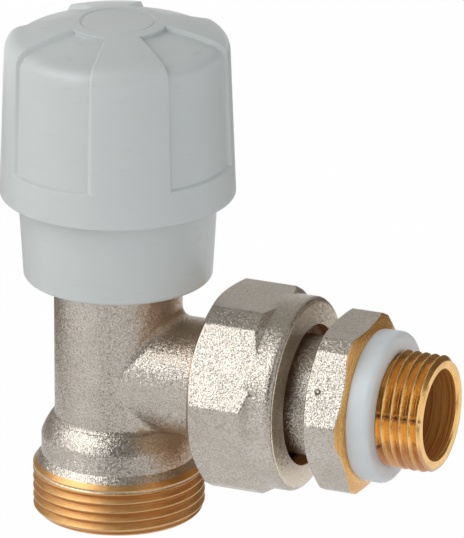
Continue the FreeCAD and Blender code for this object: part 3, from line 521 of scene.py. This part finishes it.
mouth = rounded([
    (TAIL_END, MOUTH_OUTER_R, 0), (TAIL_END, MOUTH_R, 0.1),
    (MOUTH_END, TAIL_BORE_R, 0.1), (THREAD_START, TAIL_BORE_R, 0)])
reach = np.concatenate([along, all_round(mouth[:, :1], thread_turn)])
out = np.concatenate([thread, all_round(mouth[:, 1:], thread_turn)])
# The lower half of the thread is painted browner: painted shade on its underside.
painted_underside_shade = UNDERSIDE_SHADE * eased(np.cos(thread_turn) / UNDERSIDE_SHADE_FADE)
soil_and_painted_shade = np.maximum(GROOVE_SOIL * groove ** 3, painted_underside_shade) + DARK_SPOTS_AND_NICK * (nick + spot)
in_bore = all_round(MOUTH_SOIL * (mouth[:, 1:] < TAIL_BORE_R + 0.02), thread_turn)
radiator_thread = grid_piece(
    "radiator_thread", about_branch(reach, out, thread_turn), "tailpiece", "plated_brass",
    closed=False, bare=1.0, groove=np.concatenate([np.clip(soil_and_painted_shade, 0, 1), in_bore]),
    worn=np.concatenate([crest_sheen_line(groove), np.zeros_like(in_bore)]))

# %% [markdown]
# ## The sealing ring
# A soft white ring sits in the groove behind the radiator thread. Its front edge is well rounded,
# because it was moulded, and its sides are plain. A closed profile carried round the branch is enough.

# %% Sealing ring
RING_END, RING_BORE_R, RING_COLUMNS = 42.55, 7.78, 200

ring = rounded([
    (RING_START, RING_BORE_R, 0.1), (RING_START, RING_R, 0.25),
    (RING_END, RING_R, 0.95), (RING_END, RING_BORE_R, 0.25)], 12)
white_ring = grid_piece(
    "sealing_ring", about_branch(ring[:, :1], ring[:, 1:], whole_turn(RING_COLUMNS)),
    "tailpiece", "white_seal")
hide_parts("tail_seal_ring")

# %% [markdown]
# ## The body
# The body is a forging whose foot and branch were turned and threaded after plating. The forged part
# of the frame is kept as it is. On a copy, the two threaded cylinders are drawn in below the thread's
# root, which leaves room for sleeves with the real grooves.

# %% Body forging with foot and branch drawn in
FOOT_R, FOOT_TOP, CORE_R = 12.25, 7.0, 11.3
RUNOUT_TOP, RUNOUT_R, BELL_LOW, BELL_R = 7.9, 11.6, 8.7, 11.0
UNION_START, UNION_END, UNION_R, UNION_CORE_R = 17.0, 24.4, 11.45, 10.15
SLACK = 0.05

forging_mesh = frame["nodes"]["valve_body"].data.copy()
forging_mesh.name = "body_forging"
places = np.empty(len(forging_mesh.vertices) * 3, np.float32)
forging_mesh.vertices.foreach_get("co", places)
places = places.reshape(-1, 3)
from_axis = np.hypot(places[:, 0], places[:, 1])
foot = (from_axis > CORE_R * MM) & (places[:, 2] < (RUNOUT_TOP + SLACK) * MM)
places[foot, :2] *= (CORE_R * MM / from_axis[foot])[:, None]
branch_line = np.array([0, BRANCH_HEIGHT * MM])
from_branch = np.hypot(*(places[:, 1:] - branch_line).T)
collar = (places[:, 0] > (UNION_START - SLACK) * MM) & (from_branch > UNION_CORE_R * MM)
shrink = (UNION_CORE_R * MM / from_branch[collar])[:, None]
places[collar, 1:] = branch_line + (places[collar, 1:] - branch_line) * shrink
forging_mesh.vertices.foreach_set("co", places.ravel())
if "custom_normal" in forging_mesh.attributes:
    forging_mesh.attributes.remove(forging_mesh.attributes["custom_normal"])
forging = finished("body_forging", forging_mesh, "body", 35)
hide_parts("valve_body")
print(int(foot.sum()), "foot points and", int(collar.sum()), "branch points drawn in")

# %% [markdown]
# ## The pipe thread at the foot
# The thread ends in a turned groove, above which the cut runs out in a cone into the plated bell.
# These could be three objects. One sleeve has no joints to hide, and one set of marks says where the
# plating ends, where brass shows wear, and where the crests are painted paler as a highlight.

# %% Foot thread, form
FOOT_COLUMNS, FOOT_GROOVE, FOOT_TIP_R, FOOT_BLEND, FOOT_FADE = 261, 0.6, 11.45, 0.04, 0.5
UNDERCUT_HEIGHT, UNDERCUT_DEPTH, UNDERCUT_WIDTH = 6.72, 0.18, 0.14
SLEEVE_R, RUNOUT_SLEEVE_R = 11.2, 10.9


def near_undercut(level):
    """1 in the middle of the turned groove above the thread, falling off as exp(-x * x)."""
    return hump((level - UNDERCUT_HEIGHT) / UNDERCUT_WIDTH)


foot_turn = thread_angles(FOOT_COLUMNS)
up = helical_rows(0, BELL_LOW, foot_turn)
groove = groove_share(up, foot_turn) * eased((UNDERCUT_HEIGHT - up) / FOOT_FADE)
runout = np.interp(up, [FOOT_TOP, RUNOUT_TOP, BELL_LOW], [FOOT_R, RUNOUT_R, BELL_R])
envelope = soft_min(FOOT_BLEND, FOOT_R, FOOT_TIP_R + up, runout)
sleeve = np.minimum(FOOT_R - FOOT_GROOVE * groove, envelope) - UNDERCUT_DEPTH * near_undercut(up)
under = rounded([
    (BELL_R - SLACK, BELL_LOW, 0), (RUNOUT_SLEEVE_R, RUNOUT_TOP, 0),
    (SLEEVE_R, FOOT_TOP, 0), (SLEEVE_R, 0.0, 0)])
print("foot sleeve", sleeve.shape)

# %% Foot thread, marks and mesh
PLATING_EDGE, PLATING_FADE, PLATING_LEFT = 7.72, 0.12, 0.9
FOOT_SOIL, FOOT_GROOVE_SOIL, FOOT_WEAR_AND_SHEEN, UNDERCUT_WEAR = 0.36, 0.30, 0.5, 0.8

height = np.concatenate([up, all_round(under[:, 1:], foot_turn)])
out = np.concatenate([sleeve, all_round(under[:, :1], foot_turn)])
plain = np.zeros((len(under), FOOT_COLUMNS))
residue = near_undercut(height)
depth = np.concatenate([FOOT_SOIL + FOOT_GROOVE_SOIL * groove ** 2, plain])
on_thread = up < UNDERCUT_HEIGHT - FOOT_FADE
# The crests take the pale wear colour, also as a painted highlight, and so does the nickel left in the
# groove.
foot_wear_and_sheen = np.concatenate([FOOT_WEAR_AND_SHEEN * crest_sheen_line(groove) * on_thread, plain]) + UNDERCUT_WEAR * residue
cut = eased((PLATING_EDGE - height) / PLATING_FADE + 0.5) - PLATING_LEFT * residue
foot_thread = grid_piece("foot_thread", about_valve(out, height, foot_turn), "body", "plated_brass",
                         closed=False, bare=np.clip(cut, 0, 1), groove=depth, worn=foot_wear_and_sheen)

# %% [markdown]
# ## The union thread on the branch
# The nut hides this thread until the union is opened. It is coarser than the other two, 14 turns to
# the inch, and was cut in the same way, so the same surface with a longer pitch gives it.

# %% Union thread
UNION_COLUMNS, UNION_PITCH, UNION_GROOVE, UNION_TIP_R, UNION_SOIL = 181, 1.814, 1.0, 10.85, 0.6
UNION_SLEEVE_R = UNION_CORE_R - 0.1

union_turn = thread_angles(UNION_COLUMNS)
along = helical_rows(UNION_START, UNION_END, union_turn, UNION_PITCH)
groove = groove_share(along - UNION_START, union_turn, UNION_PITCH)
crest = soft_min(CREST_BLEND, UNION_R, UNION_TIP_R + (UNION_END - along))
thread = np.minimum(UNION_R - UNION_GROOVE * groove, crest)
core = np.array([(UNION_END, UNION_SLEEVE_R), (UNION_START, UNION_SLEEVE_R)])
reach = np.concatenate([along, all_round(core[:, :1], union_turn)])
out = np.concatenate([thread, all_round(core[:, 1:], union_turn)])
plain = np.zeros((len(core), UNION_COLUMNS))
union_thread = grid_piece(
    "union_thread", about_branch(reach, out, union_turn), "body", "plated_brass", closed=False, bare=1.0,
    groove=np.concatenate([UNION_SOIL * groove ** 3, plain]),
    worn=np.concatenate([crest_sheen_line(groove), plain]))

# %% [markdown]
# ## Finishes
# A finish is a small net of nodes on Object coordinates, so it stays with its piece. Each one mixes
# at least two scales: a slow one for patches of tone, and a fine one for grain. A helper adds a node,
# sets its plain values and joins its links in one line.

# %% Node helpers
def fed(net, node, inputs):
    """Gives each named input of a node a link or a plain value."""
    for key, value in inputs.items():
        if isinstance(value, bpy.types.NodeSocket):
            net.links.new(value, node.inputs[key])
        else:
            node.inputs[key].default_value = value
    return node


def add(net, kind, inputs=None, **settings):
    """Adds a node with its settings and inputs."""
    made = net.nodes.new(kind)
    for key, value in settings.items():
        setattr(made, key, value)
    return fed(net, made, inputs or {})


def emptied(owner):
    """Empty net of a material or a world."""
    owner.use_nodes = True
    owner.node_tree.nodes.clear()
    return owner.node_tree


def blank(name):
    """New material with its net, its Object coordinates and a principled shader."""
    material = bpy.data.materials.new(name)
    net = emptied(material)
    place = add(net, "ShaderNodeTexCoord").outputs["Object"]
    shader = add(net, "ShaderNodeBsdfPrincipled")
    add(net, "ShaderNodeOutputMaterial", {"Surface": shader.outputs["BSDF"]})
    return material, net, place, shader


def mark(net, name):
    """Number that a piece keeps for each of its points, and 0 where it has none."""
    return add(net, "ShaderNodeAttribute", attribute_name=name).outputs["Fac"]


# %% Pattern and mixing helpers
def noise(net, place, scale, detail=2.0, roughness=0.5):
    """Value of a noise pattern with the given number of waves in a metre."""
    settings = {"Vector": place, "Scale": scale, "Detail": detail, "Roughness": roughness}
    return add(net, "ShaderNodeTexNoise", settings).outputs["Fac"]


def stretched(net, place, across, axis, along_axis):
    """Coordinates multiplied by one number across an axis and by another along it."""
    scale = [across] * 3
    scale["XYZ".index(axis)] = along_axis
    return add(net, "ShaderNodeMapping", {"Vector": place, "Scale": scale}).outputs["Vector"]


def between(net, value, low, high, to_low=0.0, to_high=1.0):
    """Maps a value from one span to another, clamped."""
    spans = {"Value": value, "From Min": low, "From Max": high, "To Min": to_low, "To Max": to_high}
    return add(net, "ShaderNodeMapRange", spans).outputs["Result"]


def mixed(net, share, first, second):
    """Colour between two colours or colour links."""
    return add(net, "ShaderNodeMix", {0: share, 6: first, 7: second}, data_type="RGBA").outputs[2]


def mixed_number(net, share, first, second):
    """Number between two numbers or links."""
    return add(net, "ShaderNodeMix", {0: share, 2: first, 3: second}, data_type="FLOAT").outputs[0]


def worked(net, operation, *values):
    """Result of a Math node."""
    return add(net, "ShaderNodeMath", dict(enumerate(values)), operation=operation).outputs[0]


def vectors(net, operation, *values):
    """Results of a Vector Math node, named Vector and Value."""
    return add(net, "ShaderNodeVectorMath", dict(enumerate(values)), operation=operation).outputs


def bump(net, height, strength, distance, normal=None):
    """Normal after a bump, on top of an earlier normal if there is one."""
    inputs = {"Height": height, "Strength": strength, "Distance": distance}
    if normal is not None:
        inputs["Normal"] = normal
    return add(net, "ShaderNodeBump", inputs).outputs["Normal"]


print("node helpers ready")

# %% [markdown]
# ## Blasted nickel and bare brass
# The forgings were shot blasted and nickel plated, which leaves a satin skin that sparkles: each small
# dent mirrors another part of the room. A painted speckle would stay put when the light moves, so the
# sparkle is in the normal, as a grain of dents and as small facets that each tilt their own way.
# Where a tool cut the plating away the same material shows brass, with fine turning marks across the
# axis. Tarnish and dirt in the grooves are a film, so there the metal is browner and less of a mirror.

# %% Colours of nickel and brass
NICKEL_DARK, NICKEL_LIGHT = (0.50, 0.462, 0.415, 1), (0.60, 0.565, 0.52, 1)
DENT_BROWN, PAINTED_REFLECTION_BROWN = (0.31, 0.25, 0.19, 1), (0.62, 0.45, 0.30, 1)
BRASS_BROWN, TARNISH, DIRT = (0.48, 0.25, 0.085, 1), (0.55, 0.18, 0.03, 1), (0.12, 0.06, 0.03, 1)
POLISHED_SHEEN = (0.84, 0.74, 0.58, 1)
TARNISH_SPAN = (0.30, 0.75)


def nickel_skin(net, patches, grain):
    """Warm grey in slow patches, browner in the dents of the grain."""
    colour = mixed(net, between(net, patches, 0.35, 0.68), NICKEL_DARK, NICKEL_LIGHT)
    return mixed(net, between(net, grain, 0.56, 0.38, 0.0, 0.65), colour, DENT_BROWN)


def cut_brass(net, tones, patches, rings, tracks, groove):
    """Two tones in turning rings, with slow brown patches. Where the groove mark rises, tarnish comes
    in along the tool's tracks, and dirt where it is highest."""
    colour = mixed(net, between(net, rings, 0.35, 0.7), *tones)
    colour = mixed(net, between(net, patches, 0.55, 0.72, 0.0, 0.5), colour, BRASS_BROWN)
    tarnish = worked(net, "MULTIPLY", between(net, groove, *TARNISH_SPAN),
                     between(net, tracks, 0.40, 0.60, 1.0, 0.35))
    colour = mixed(net, tarnish, colour, TARNISH)
    return mixed(net, between(net, groove, 0.80, 1.0, 0.0, 0.85), colour, DIRT)


# %% Relief of the blasted skin
GRAIN, PATCHES, WAVES, FACETS = 4300, 190, 420, 6500
STRUCK_MARK, STRUCK_CORE, STRUCK_EDGE = (0.0350, -0.01062, 0.02653), 0.00015, 0.0005
HALF = (0.5, 0.5, 0.5)


def blasted_normal(net, place, grain, rings, bare, skin):
    """Long waves and dents where the skin is whole, a struck mark on the tail's hexagon, turning
    rings where metal is bare, and small facets. Each facet's cell colour less a half is its tilt."""
    waves = noise(net, place, WAVES, 1.0, 0.5)
    normal = bump(net, waves, worked(net, "MULTIPLY", skin, 0.25), 0.00006)
    normal = bump(net, grain, worked(net, "MULTIPLY_ADD", skin, 0.5, 0.1), 0.0001, normal)
    from_mark = vectors(net, "DISTANCE", place, STRUCK_MARK)["Value"]
    normal = bump(net, between(net, from_mark, STRUCK_CORE, STRUCK_EDGE), 1.0, 0.0003, normal)
    normal = bump(net, rings, worked(net, "MULTIPLY", bare, 0.25), 0.00002, normal)
    cells = add(net, "ShaderNodeTexVoronoi", {"Vector": place, "Scale": FACETS}).outputs["Color"]
    centred = vectors(net, "SUBTRACT", cells, HALF)["Vector"]
    steepness = worked(net, "MULTIPLY_ADD", skin, 0.27, 0.06)
    tilt = add(net, "ShaderNodeVectorMath", {0: centred, "Scale": steepness}, operation="SCALE")
    tilted = vectors(net, "ADD", normal, tilt.outputs["Vector"])["Vector"]
    return vectors(net, "NORMALIZE", tilted)["Vector"]


# %% Plated brass
BARE_FADE, PAINTED_REFLECTION_FILM = 0.00002, 0.55


def plated_brass(name, axis, tones, bare_below=None, matt=0.0):
    """Nickel over brass that was turned about an axis. Bare metal comes from the piece's own mark, or,
    on the forging, from a height. Beside the branch the forging has a painted brown reflection that
    also lightens that shaded corner."""
    material, net, place, shader = blank(name)
    grain = noise(net, place, GRAIN, 2.0, 0.6)
    patches = noise(net, place, PATCHES, 4.0, 0.6)
    rings = noise(net, stretched(net, place, 900, axis, 26000), 1.0, 3.0, 0.6)
    tracks = noise(net, stretched(net, place, 60, axis, 3400), 1.0, 2.0, 0.6)
    groove = mark(net, "groove")
    worn = worked(net, "MULTIPLY", mark(net, "worn"), between(net, grain, 0.38, 0.55, 0.25, 1.0))
    nickel = nickel_skin(net, patches, grain)
    brass = cut_brass(net, tones, patches, rings, tracks, groove)
    if bare_below is None:
        bare = mark(net, "bare")
        film = worked(net, "MULTIPLY", bare, between(net, groove, *TARNISH_SPAN, 0.0, 0.75))
    else:
        part = add(net, "ShaderNodeSeparateXYZ", {"Vector": place}).outputs
        bare = between(net, part["Z"], bare_below, bare_below - BARE_FADE)
        # Painted reflection: beside the branch the nickel is tinted brown and given a film that makes it
        # less of a mirror and lighter.
        painted_reflection = worked(net, "MULTIPLY", between(net, part["X"], 0.004, 0.0095, 0.0, 0.55),
                       between(net, part["Y"], -0.0075, -0.0045))
        nickel = mixed(net, painted_reflection, nickel, PAINTED_REFLECTION_BROWN)
        film = worked(net, "MULTIPLY", painted_reflection, PAINTED_REFLECTION_FILM)
    skin = worked(net, "SUBTRACT", 1.0, worked(net, "MAXIMUM", bare, worn))
    satin = between(net, patches, 0.3, 0.7, 0.30, 0.38)
    turned_gloss = between(net, rings, 0.3, 0.7, 0.26 + matt, 0.38 + matt)
    # The wear mark mixes in a pale polished colour: real wear, and on the thread crests and the nut's
    # rim also a painted highlight.
    colour = mixed(net, worn, mixed(net, bare, nickel, brass), POLISHED_SHEEN)
    fed(net, shader, {
        "Base Color": colour,
        "Metallic": worked(net, "SUBTRACT", 1.0, film),
        "Roughness": mixed_number(net, bare, satin, turned_gloss),
        "Normal": blasted_normal(net, place, grain, rings, bare, skin)})
    return material


# %% Plated pieces
BRIGHT_BRASS = ((0.82, 0.46, 0.14, 1), (0.97, 0.62, 0.22, 1))
DULL_BRASS = ((0.56, 0.32, 0.12, 1), (0.74, 0.46, 0.19, 1))

branch_metal = plated_brass("plated_brass_branch", "X", BRIGHT_BRASS, matt=-0.08)
foot_metal = plated_brass("plated_brass_foot", "Z", DULL_BRASS, matt=0.08)
forged_metal = plated_brass("plated_brass_forging", "Z", DULL_BRASS, bare_below=0.0002)
branch_pieces = (nut, tail, radiator_thread, union_thread)
for piece in branch_pieces:
    piece.data.materials.append(branch_metal)
foot_thread.data.materials.append(foot_metal)
forging.data.materials.clear()
forging.data.materials.append(forged_metal)
print("plated pieces", [piece.name for piece in (*branch_pieces, foot_thread, forging)])

# %% [markdown]
# ## Grey moulding
# Handwheel, collar and cover are one plastic, pale and cool, with the fine matt texture of a spark
# eroded tool and a few faint, level scuffs from handling. A flat grey would look like card. The fine
# bump spreads the lamp's mirror image, so that the ribs show as soft changes of tone.

# %% Grey moulding
PALE_GREY, PALER_GREY = (0.640, 0.675, 0.670, 1), (0.680, 0.712, 0.706, 1)
SCUFF_GREY = (0.50, 0.525, 0.52, 1)


def grey_moulding():
    """Matt plastic: slow tone patches, fine eroded texture, and scuffs from a noise drawn out level."""
    material, net, place, shader = blank("grey_moulding")
    patches = noise(net, place, 70, 3.0, 0.5)
    texture = noise(net, place, 5200, 2.0, 0.5)
    scuffs = noise(net, stretched(net, place, 170, "Z", 1200), 1.0, 3.0, 0.7)
    colour = mixed(net, between(net, patches, 0.3, 0.7), PALE_GREY, PALER_GREY)
    colour = mixed(net, between(net, scuffs, 0.62, 0.76, 0.0, 0.32), colour, SCUFF_GREY)
    fed(net, shader, {
        "Base Color": colour,
        "Roughness": between(net, texture, 0.3, 0.7, 0.30, 0.40),
        "Specular IOR Level": 0.5,
        "Normal": bump(net, texture, 0.22, 0.00003)})
    return material


plastic = grey_moulding()
for piece in (handwheel, cover, *webs):
    piece.data.materials.append(plastic)
print("moulded pieces done")

# %% [markdown]
# ## Ring, rubber, steel and turned brass
# The white ring is milky, so light is let in below its skin. The pieces inside the valve are seen only
# when it is opened up, yet each has its own finish: turned brass, black rubber, drawn steel. One
# function with two tones serves them all.

# %% White ring
def milky_ring():
    """Soft white plastic with light under the skin and a faint flow pattern."""
    material, net, place, shader = blank("white_seal")
    flow = noise(net, place, 260, 3.0, 0.55)
    colour = mixed(net, between(net, flow, 0.3, 0.7), (0.75, 0.80, 0.83, 1), (0.81, 0.85, 0.875, 1))
    fed(net, shader, {
        "Base Color": colour,
        "Roughness": between(net, flow, 0.3, 0.7, 0.34, 0.46),
        "Subsurface Weight": 0.35,
        "Subsurface Radius": (0.0012, 0.0014, 0.0016),
        "Subsurface Scale": 1.0,
        "Normal": bump(net, noise(net, place, 2400, 2.0), 0.12, 0.00003)})
    return material


white_plastic = milky_ring()
white_ring.data.materials.append(white_plastic)
print("ring finished")


# %% Pieces inside the valve
def inner_finish(name, dark, light, metallic, rough, scale):
    """Two tones of one material with fine texture, for the pieces inside the valve."""
    material, net, place, shader = blank(name)
    tone = noise(net, place, scale, 4.0, 0.6)
    colour = mixed(net, between(net, tone, 0.3, 0.7), dark, light)
    fed(net, shader, {
        "Base Color": colour,
        "Roughness": between(net, tone, 0.3, 0.7, rough - 0.07, rough + 0.07),
        "Metallic": metallic,
        "Normal": bump(net, tone, 0.15, 0.00003)})
    return material


BRASS_TONES = ((0.66, 0.38, 0.12, 1), (0.83, 0.54, 0.21, 1))
RUBBER_TONES = ((0.012, 0.012, 0.013, 1), (0.028, 0.028, 0.03, 1))
STEEL_TONES = ((0.42, 0.42, 0.43, 1), (0.58, 0.58, 0.6, 1))
finishes = {
    "plated_brass": branch_metal,
    "grey_moulding": plastic,
    "raw_brass": inner_finish("turned_brass", *BRASS_TONES, 1.0, 0.3, 900),
    "black_rubber": inner_finish("black_rubber", *RUBBER_TONES, 0.0, 0.6, 1400),
    "steel": inner_finish("drawn_steel", *STEEL_TONES, 1.0, 0.28, 1100),
    "white_seal": white_plastic,
}
slots = {part["node"]: part["material_slot"] for part in frame["record"]["subparts"]}
for node, piece in frame["nodes"].items():
    piece.data.materials.clear()
    piece.data.materials.append(finishes[slots[node]])
print("frame pieces finished", len(slots))

# %% [markdown]
# ## Floor and room
# The valve stands on a pale floor in front of plain white. More light on the floor would wash out the
# valve too, so the white is only for rays from the camera, from mirrors and through glass. The light
# on the valve is a plain even room, weaker from above. A small share of the floor's own colour stays,
# so that the shadow shows.

# %% Floor
FLOOR_SIZE, FLOOR_LEVEL, FLOOR_GLOW = 8.0, -0.0002, 0.985
WHITE = (1, 1, 1, 1)


def flat_sheet(name, width, depth, level=0.0):
    """Rectangle of one face about the middle, at a level."""
    x, y = width / 2, depth / 2
    corners = [(-x, -y, level), (x, -y, level), (x, y, level), (-x, y, level)]
    mesh = bpy.data.meshes.new(name)
    mesh.from_pydata(corners, [], [(0, 1, 2, 3)])
    return bpy.data.objects.new(name, mesh)


def background_share(net):
    """1 for rays from the camera, a mirror or a glass, and 0 for light that falls on the object."""
    rays = add(net, "ShaderNodeLightPath").outputs
    share = worked(net, "MAXIMUM", rays["Is Camera Ray"], rays["Is Glossy Ray"])
    return worked(net, "MAXIMUM", share, rays["Is Transmission Ray"])


floor = flat_sheet("floor", FLOOR_SIZE, FLOOR_SIZE, FLOOR_LEVEL)
bpy.context.scene.collection.objects.link(floor)
floor_paint = bpy.data.materials.new("pale_floor")
net = emptied(floor_paint)
matt_floor = add(net, "ShaderNodeBsdfDiffuse", {"Color": (0.9, 0.9, 0.9, 1)})
glow = add(net, "ShaderNodeEmission", {"Color": WHITE, "Strength": 1.0})
share = worked(net, "MULTIPLY", background_share(net), FLOOR_GLOW)
pale = add(net, "ShaderNodeMixShader", {0: share, 1: matt_floor.outputs[0], 2: glow.outputs[0]})
add(net, "ShaderNodeOutputMaterial", {"Surface": pale.outputs[0]})
floor.data.materials.append(floor_paint)
print("floor made")

# %% Room
ROOM_TINT, LIGHT_BELOW, LIGHT_ABOVE = (0.97, 0.985, 1.0, 1), 0.90, 0.16

room = bpy.data.worlds.new("white_room")
bpy.context.scene.world = room
net = emptied(room)
direction = add(net, "ShaderNodeTexCoord").outputs["Generated"]
upward = add(net, "ShaderNodeSeparateXYZ", {"Vector": direction}).outputs["Z"]
strength = between(net, upward, 0, 1, LIGHT_BELOW, LIGHT_ABOVE)
even = add(net, "ShaderNodeBackground", {"Color": ROOM_TINT, "Strength": strength})
white = add(net, "ShaderNodeBackground", {"Color": WHITE, "Strength": 1.0})
share = background_share(net)
both = add(net, "ShaderNodeMixShader", {0: share, 1: even.outputs[0], 2: white.outputs[0]})
add(net, "ShaderNodeOutputWorld", {"Surface": both.outputs[0]})
print("room made")

# %% [markdown]
# ## Lamps and cards
# A large soft key lamp stands in front, to the left and above, where the brightest face of the nut
# mirrors it. A gleam lamp beside it is for mirrors alone, and a fill lamp on the right lifts the matt
# pieces without a mirror image. Cards of several tones, also for mirrors alone, give the metal
# something darker than the room to show, as the gaps between a studio's lamps do.

# %% Lamps
from mathutils import Vector

CENTRE = Vector((0.0175, 0.0, 0.0386))


def aimed(obj, direction, distance):
    """Puts an object in a direction from the valve, its -Z side facing the valve."""
    away = Vector(direction).normalized()
    obj.location = CENTRE + away * distance
    obj.rotation_mode = "QUATERNION"
    obj.rotation_quaternion = away.to_track_quat("Z", "Y")
    bpy.context.scene.collection.objects.link(obj)
    return obj


def soft_lamp(name, direction, distance, size, watts, colour):
    """Square area lamp that faces the valve."""
    data = bpy.data.lights.new(name, "AREA")
    data.size, data.energy, data.color = size, watts, colour
    return aimed(bpy.data.objects.new(name, data), direction, distance)


soft_lamp("key_lamp", (-0.557, -0.557, 0.616), 0.7, 0.60, 1.95, (1.0, 0.99, 0.97))
gleam = soft_lamp("gleam_lamp", (-0.45, -0.66, 0.60), 0.7, 0.50, 0.65, (0.82, 0.93, 1.0))
gleam.visible_diffuse = False
fill = soft_lamp("fill_lamp", (0.95, -0.25, 0.15), 0.8, 0.60, 0.65, (1.0, 1.0, 1.0))
fill.visible_glossy = False
print("lamps placed")

# %% Cards
DARK, BROWN = (0.04, 0.032, 0.025, 1), (0.17, 0.115, 0.07, 1)
TAN, GREY = (0.46, 0.38, 0.30, 1), (0.95, 0.92, 0.88, 1)
SAND = (0.86, 0.78, 0.68, 1)

# Each card has a direction from the valve, a distance, a width, a height and a colour.
CARDS = {
    "card_above": ((-0.10, 0.15, 0.98), 0.9, 1.5, 1.5, SAND),
    "card_front": ((0.36, -0.78, 0.50), 0.6, 0.58, 0.62, DARK),
    "card_behind": ((-0.37, 0.86, 0.36), 0.6, 0.50, 0.30, GREY),
    "card_back_right": ((0.50, 0.80, 0.33), 0.6, 0.46, 0.34, BROWN),
    "card_low_front": ((0.22, -0.96, 0.12), 0.6, 0.60, 0.20, DARK),
    "card_right_low": ((0.88, -0.25, -0.40), 0.095, 0.09, 0.024, TAN),
    "card_right_high": ((0.76, 0.35, 0.55), 0.6, 0.50, 0.30, BROWN),
    "card_behind_right": ((0.42, 0.88, -0.10), 0.12, 0.16, 0.05, BROWN),
    "card_left": ((-0.90, 0.30, -0.20), 0.09, 0.10, 0.042, TAN),
}


def card(name, direction, distance, width, height, colour):
    """Card that only mirrors see: it gives the metal darker edges and casts no shadow."""
    made = aimed(flat_sheet(name, width, height), direction, distance)
    paint = bpy.data.materials.new(name)
    paint.use_nodes = True
    paint.node_tree.nodes["Principled BSDF"].inputs["Base Color"].default_value = colour
    made.data.materials.append(paint)
    made.visible_camera = made.visible_diffuse = made.visible_shadow = False


for name, setting in CARDS.items():
    card(name, *setting)
print("cards placed", len(CARDS))

# %% [markdown]
# ## Camera
# The photograph was taken with a long lens from a little above and a little to the right of the
# valve's front. A long lens keeps upright edges nearly parallel. The long side of the frame is the
# height, so the sensor's 36 mm belong to it.

# %% Camera
AZIMUTH, ELEVATION, DISTANCE = math.radians(23.2), math.radians(20.7), 1.5
LOOK = Vector((0.01747, 0.0, 0.03856))
LENS, SENSOR = 714.6, 36.0

lens = bpy.data.cameras.new("camera")
lens.lens, lens.sensor_width = LENS, SENSOR
lens.clip_start, lens.clip_end = 0.05, 20.0
camera = bpy.data.objects.new("camera", lens)
bpy.context.scene.collection.objects.link(camera)
level = math.cos(ELEVATION)
to_camera = Vector((math.sin(AZIMUTH) * level, -math.cos(AZIMUTH) * level, math.sin(ELEVATION)))
camera.location = LOOK + to_camera * DISTANCE
camera.rotation_mode = "QUATERNION"
camera.rotation_quaternion = to_camera.to_track_quat("Z", "Y")
bpy.context.scene.camera = camera
bpy.context.scene.view_settings.view_transform = "Standard"
print("camera at", [round(v, 3) for v in camera.location])
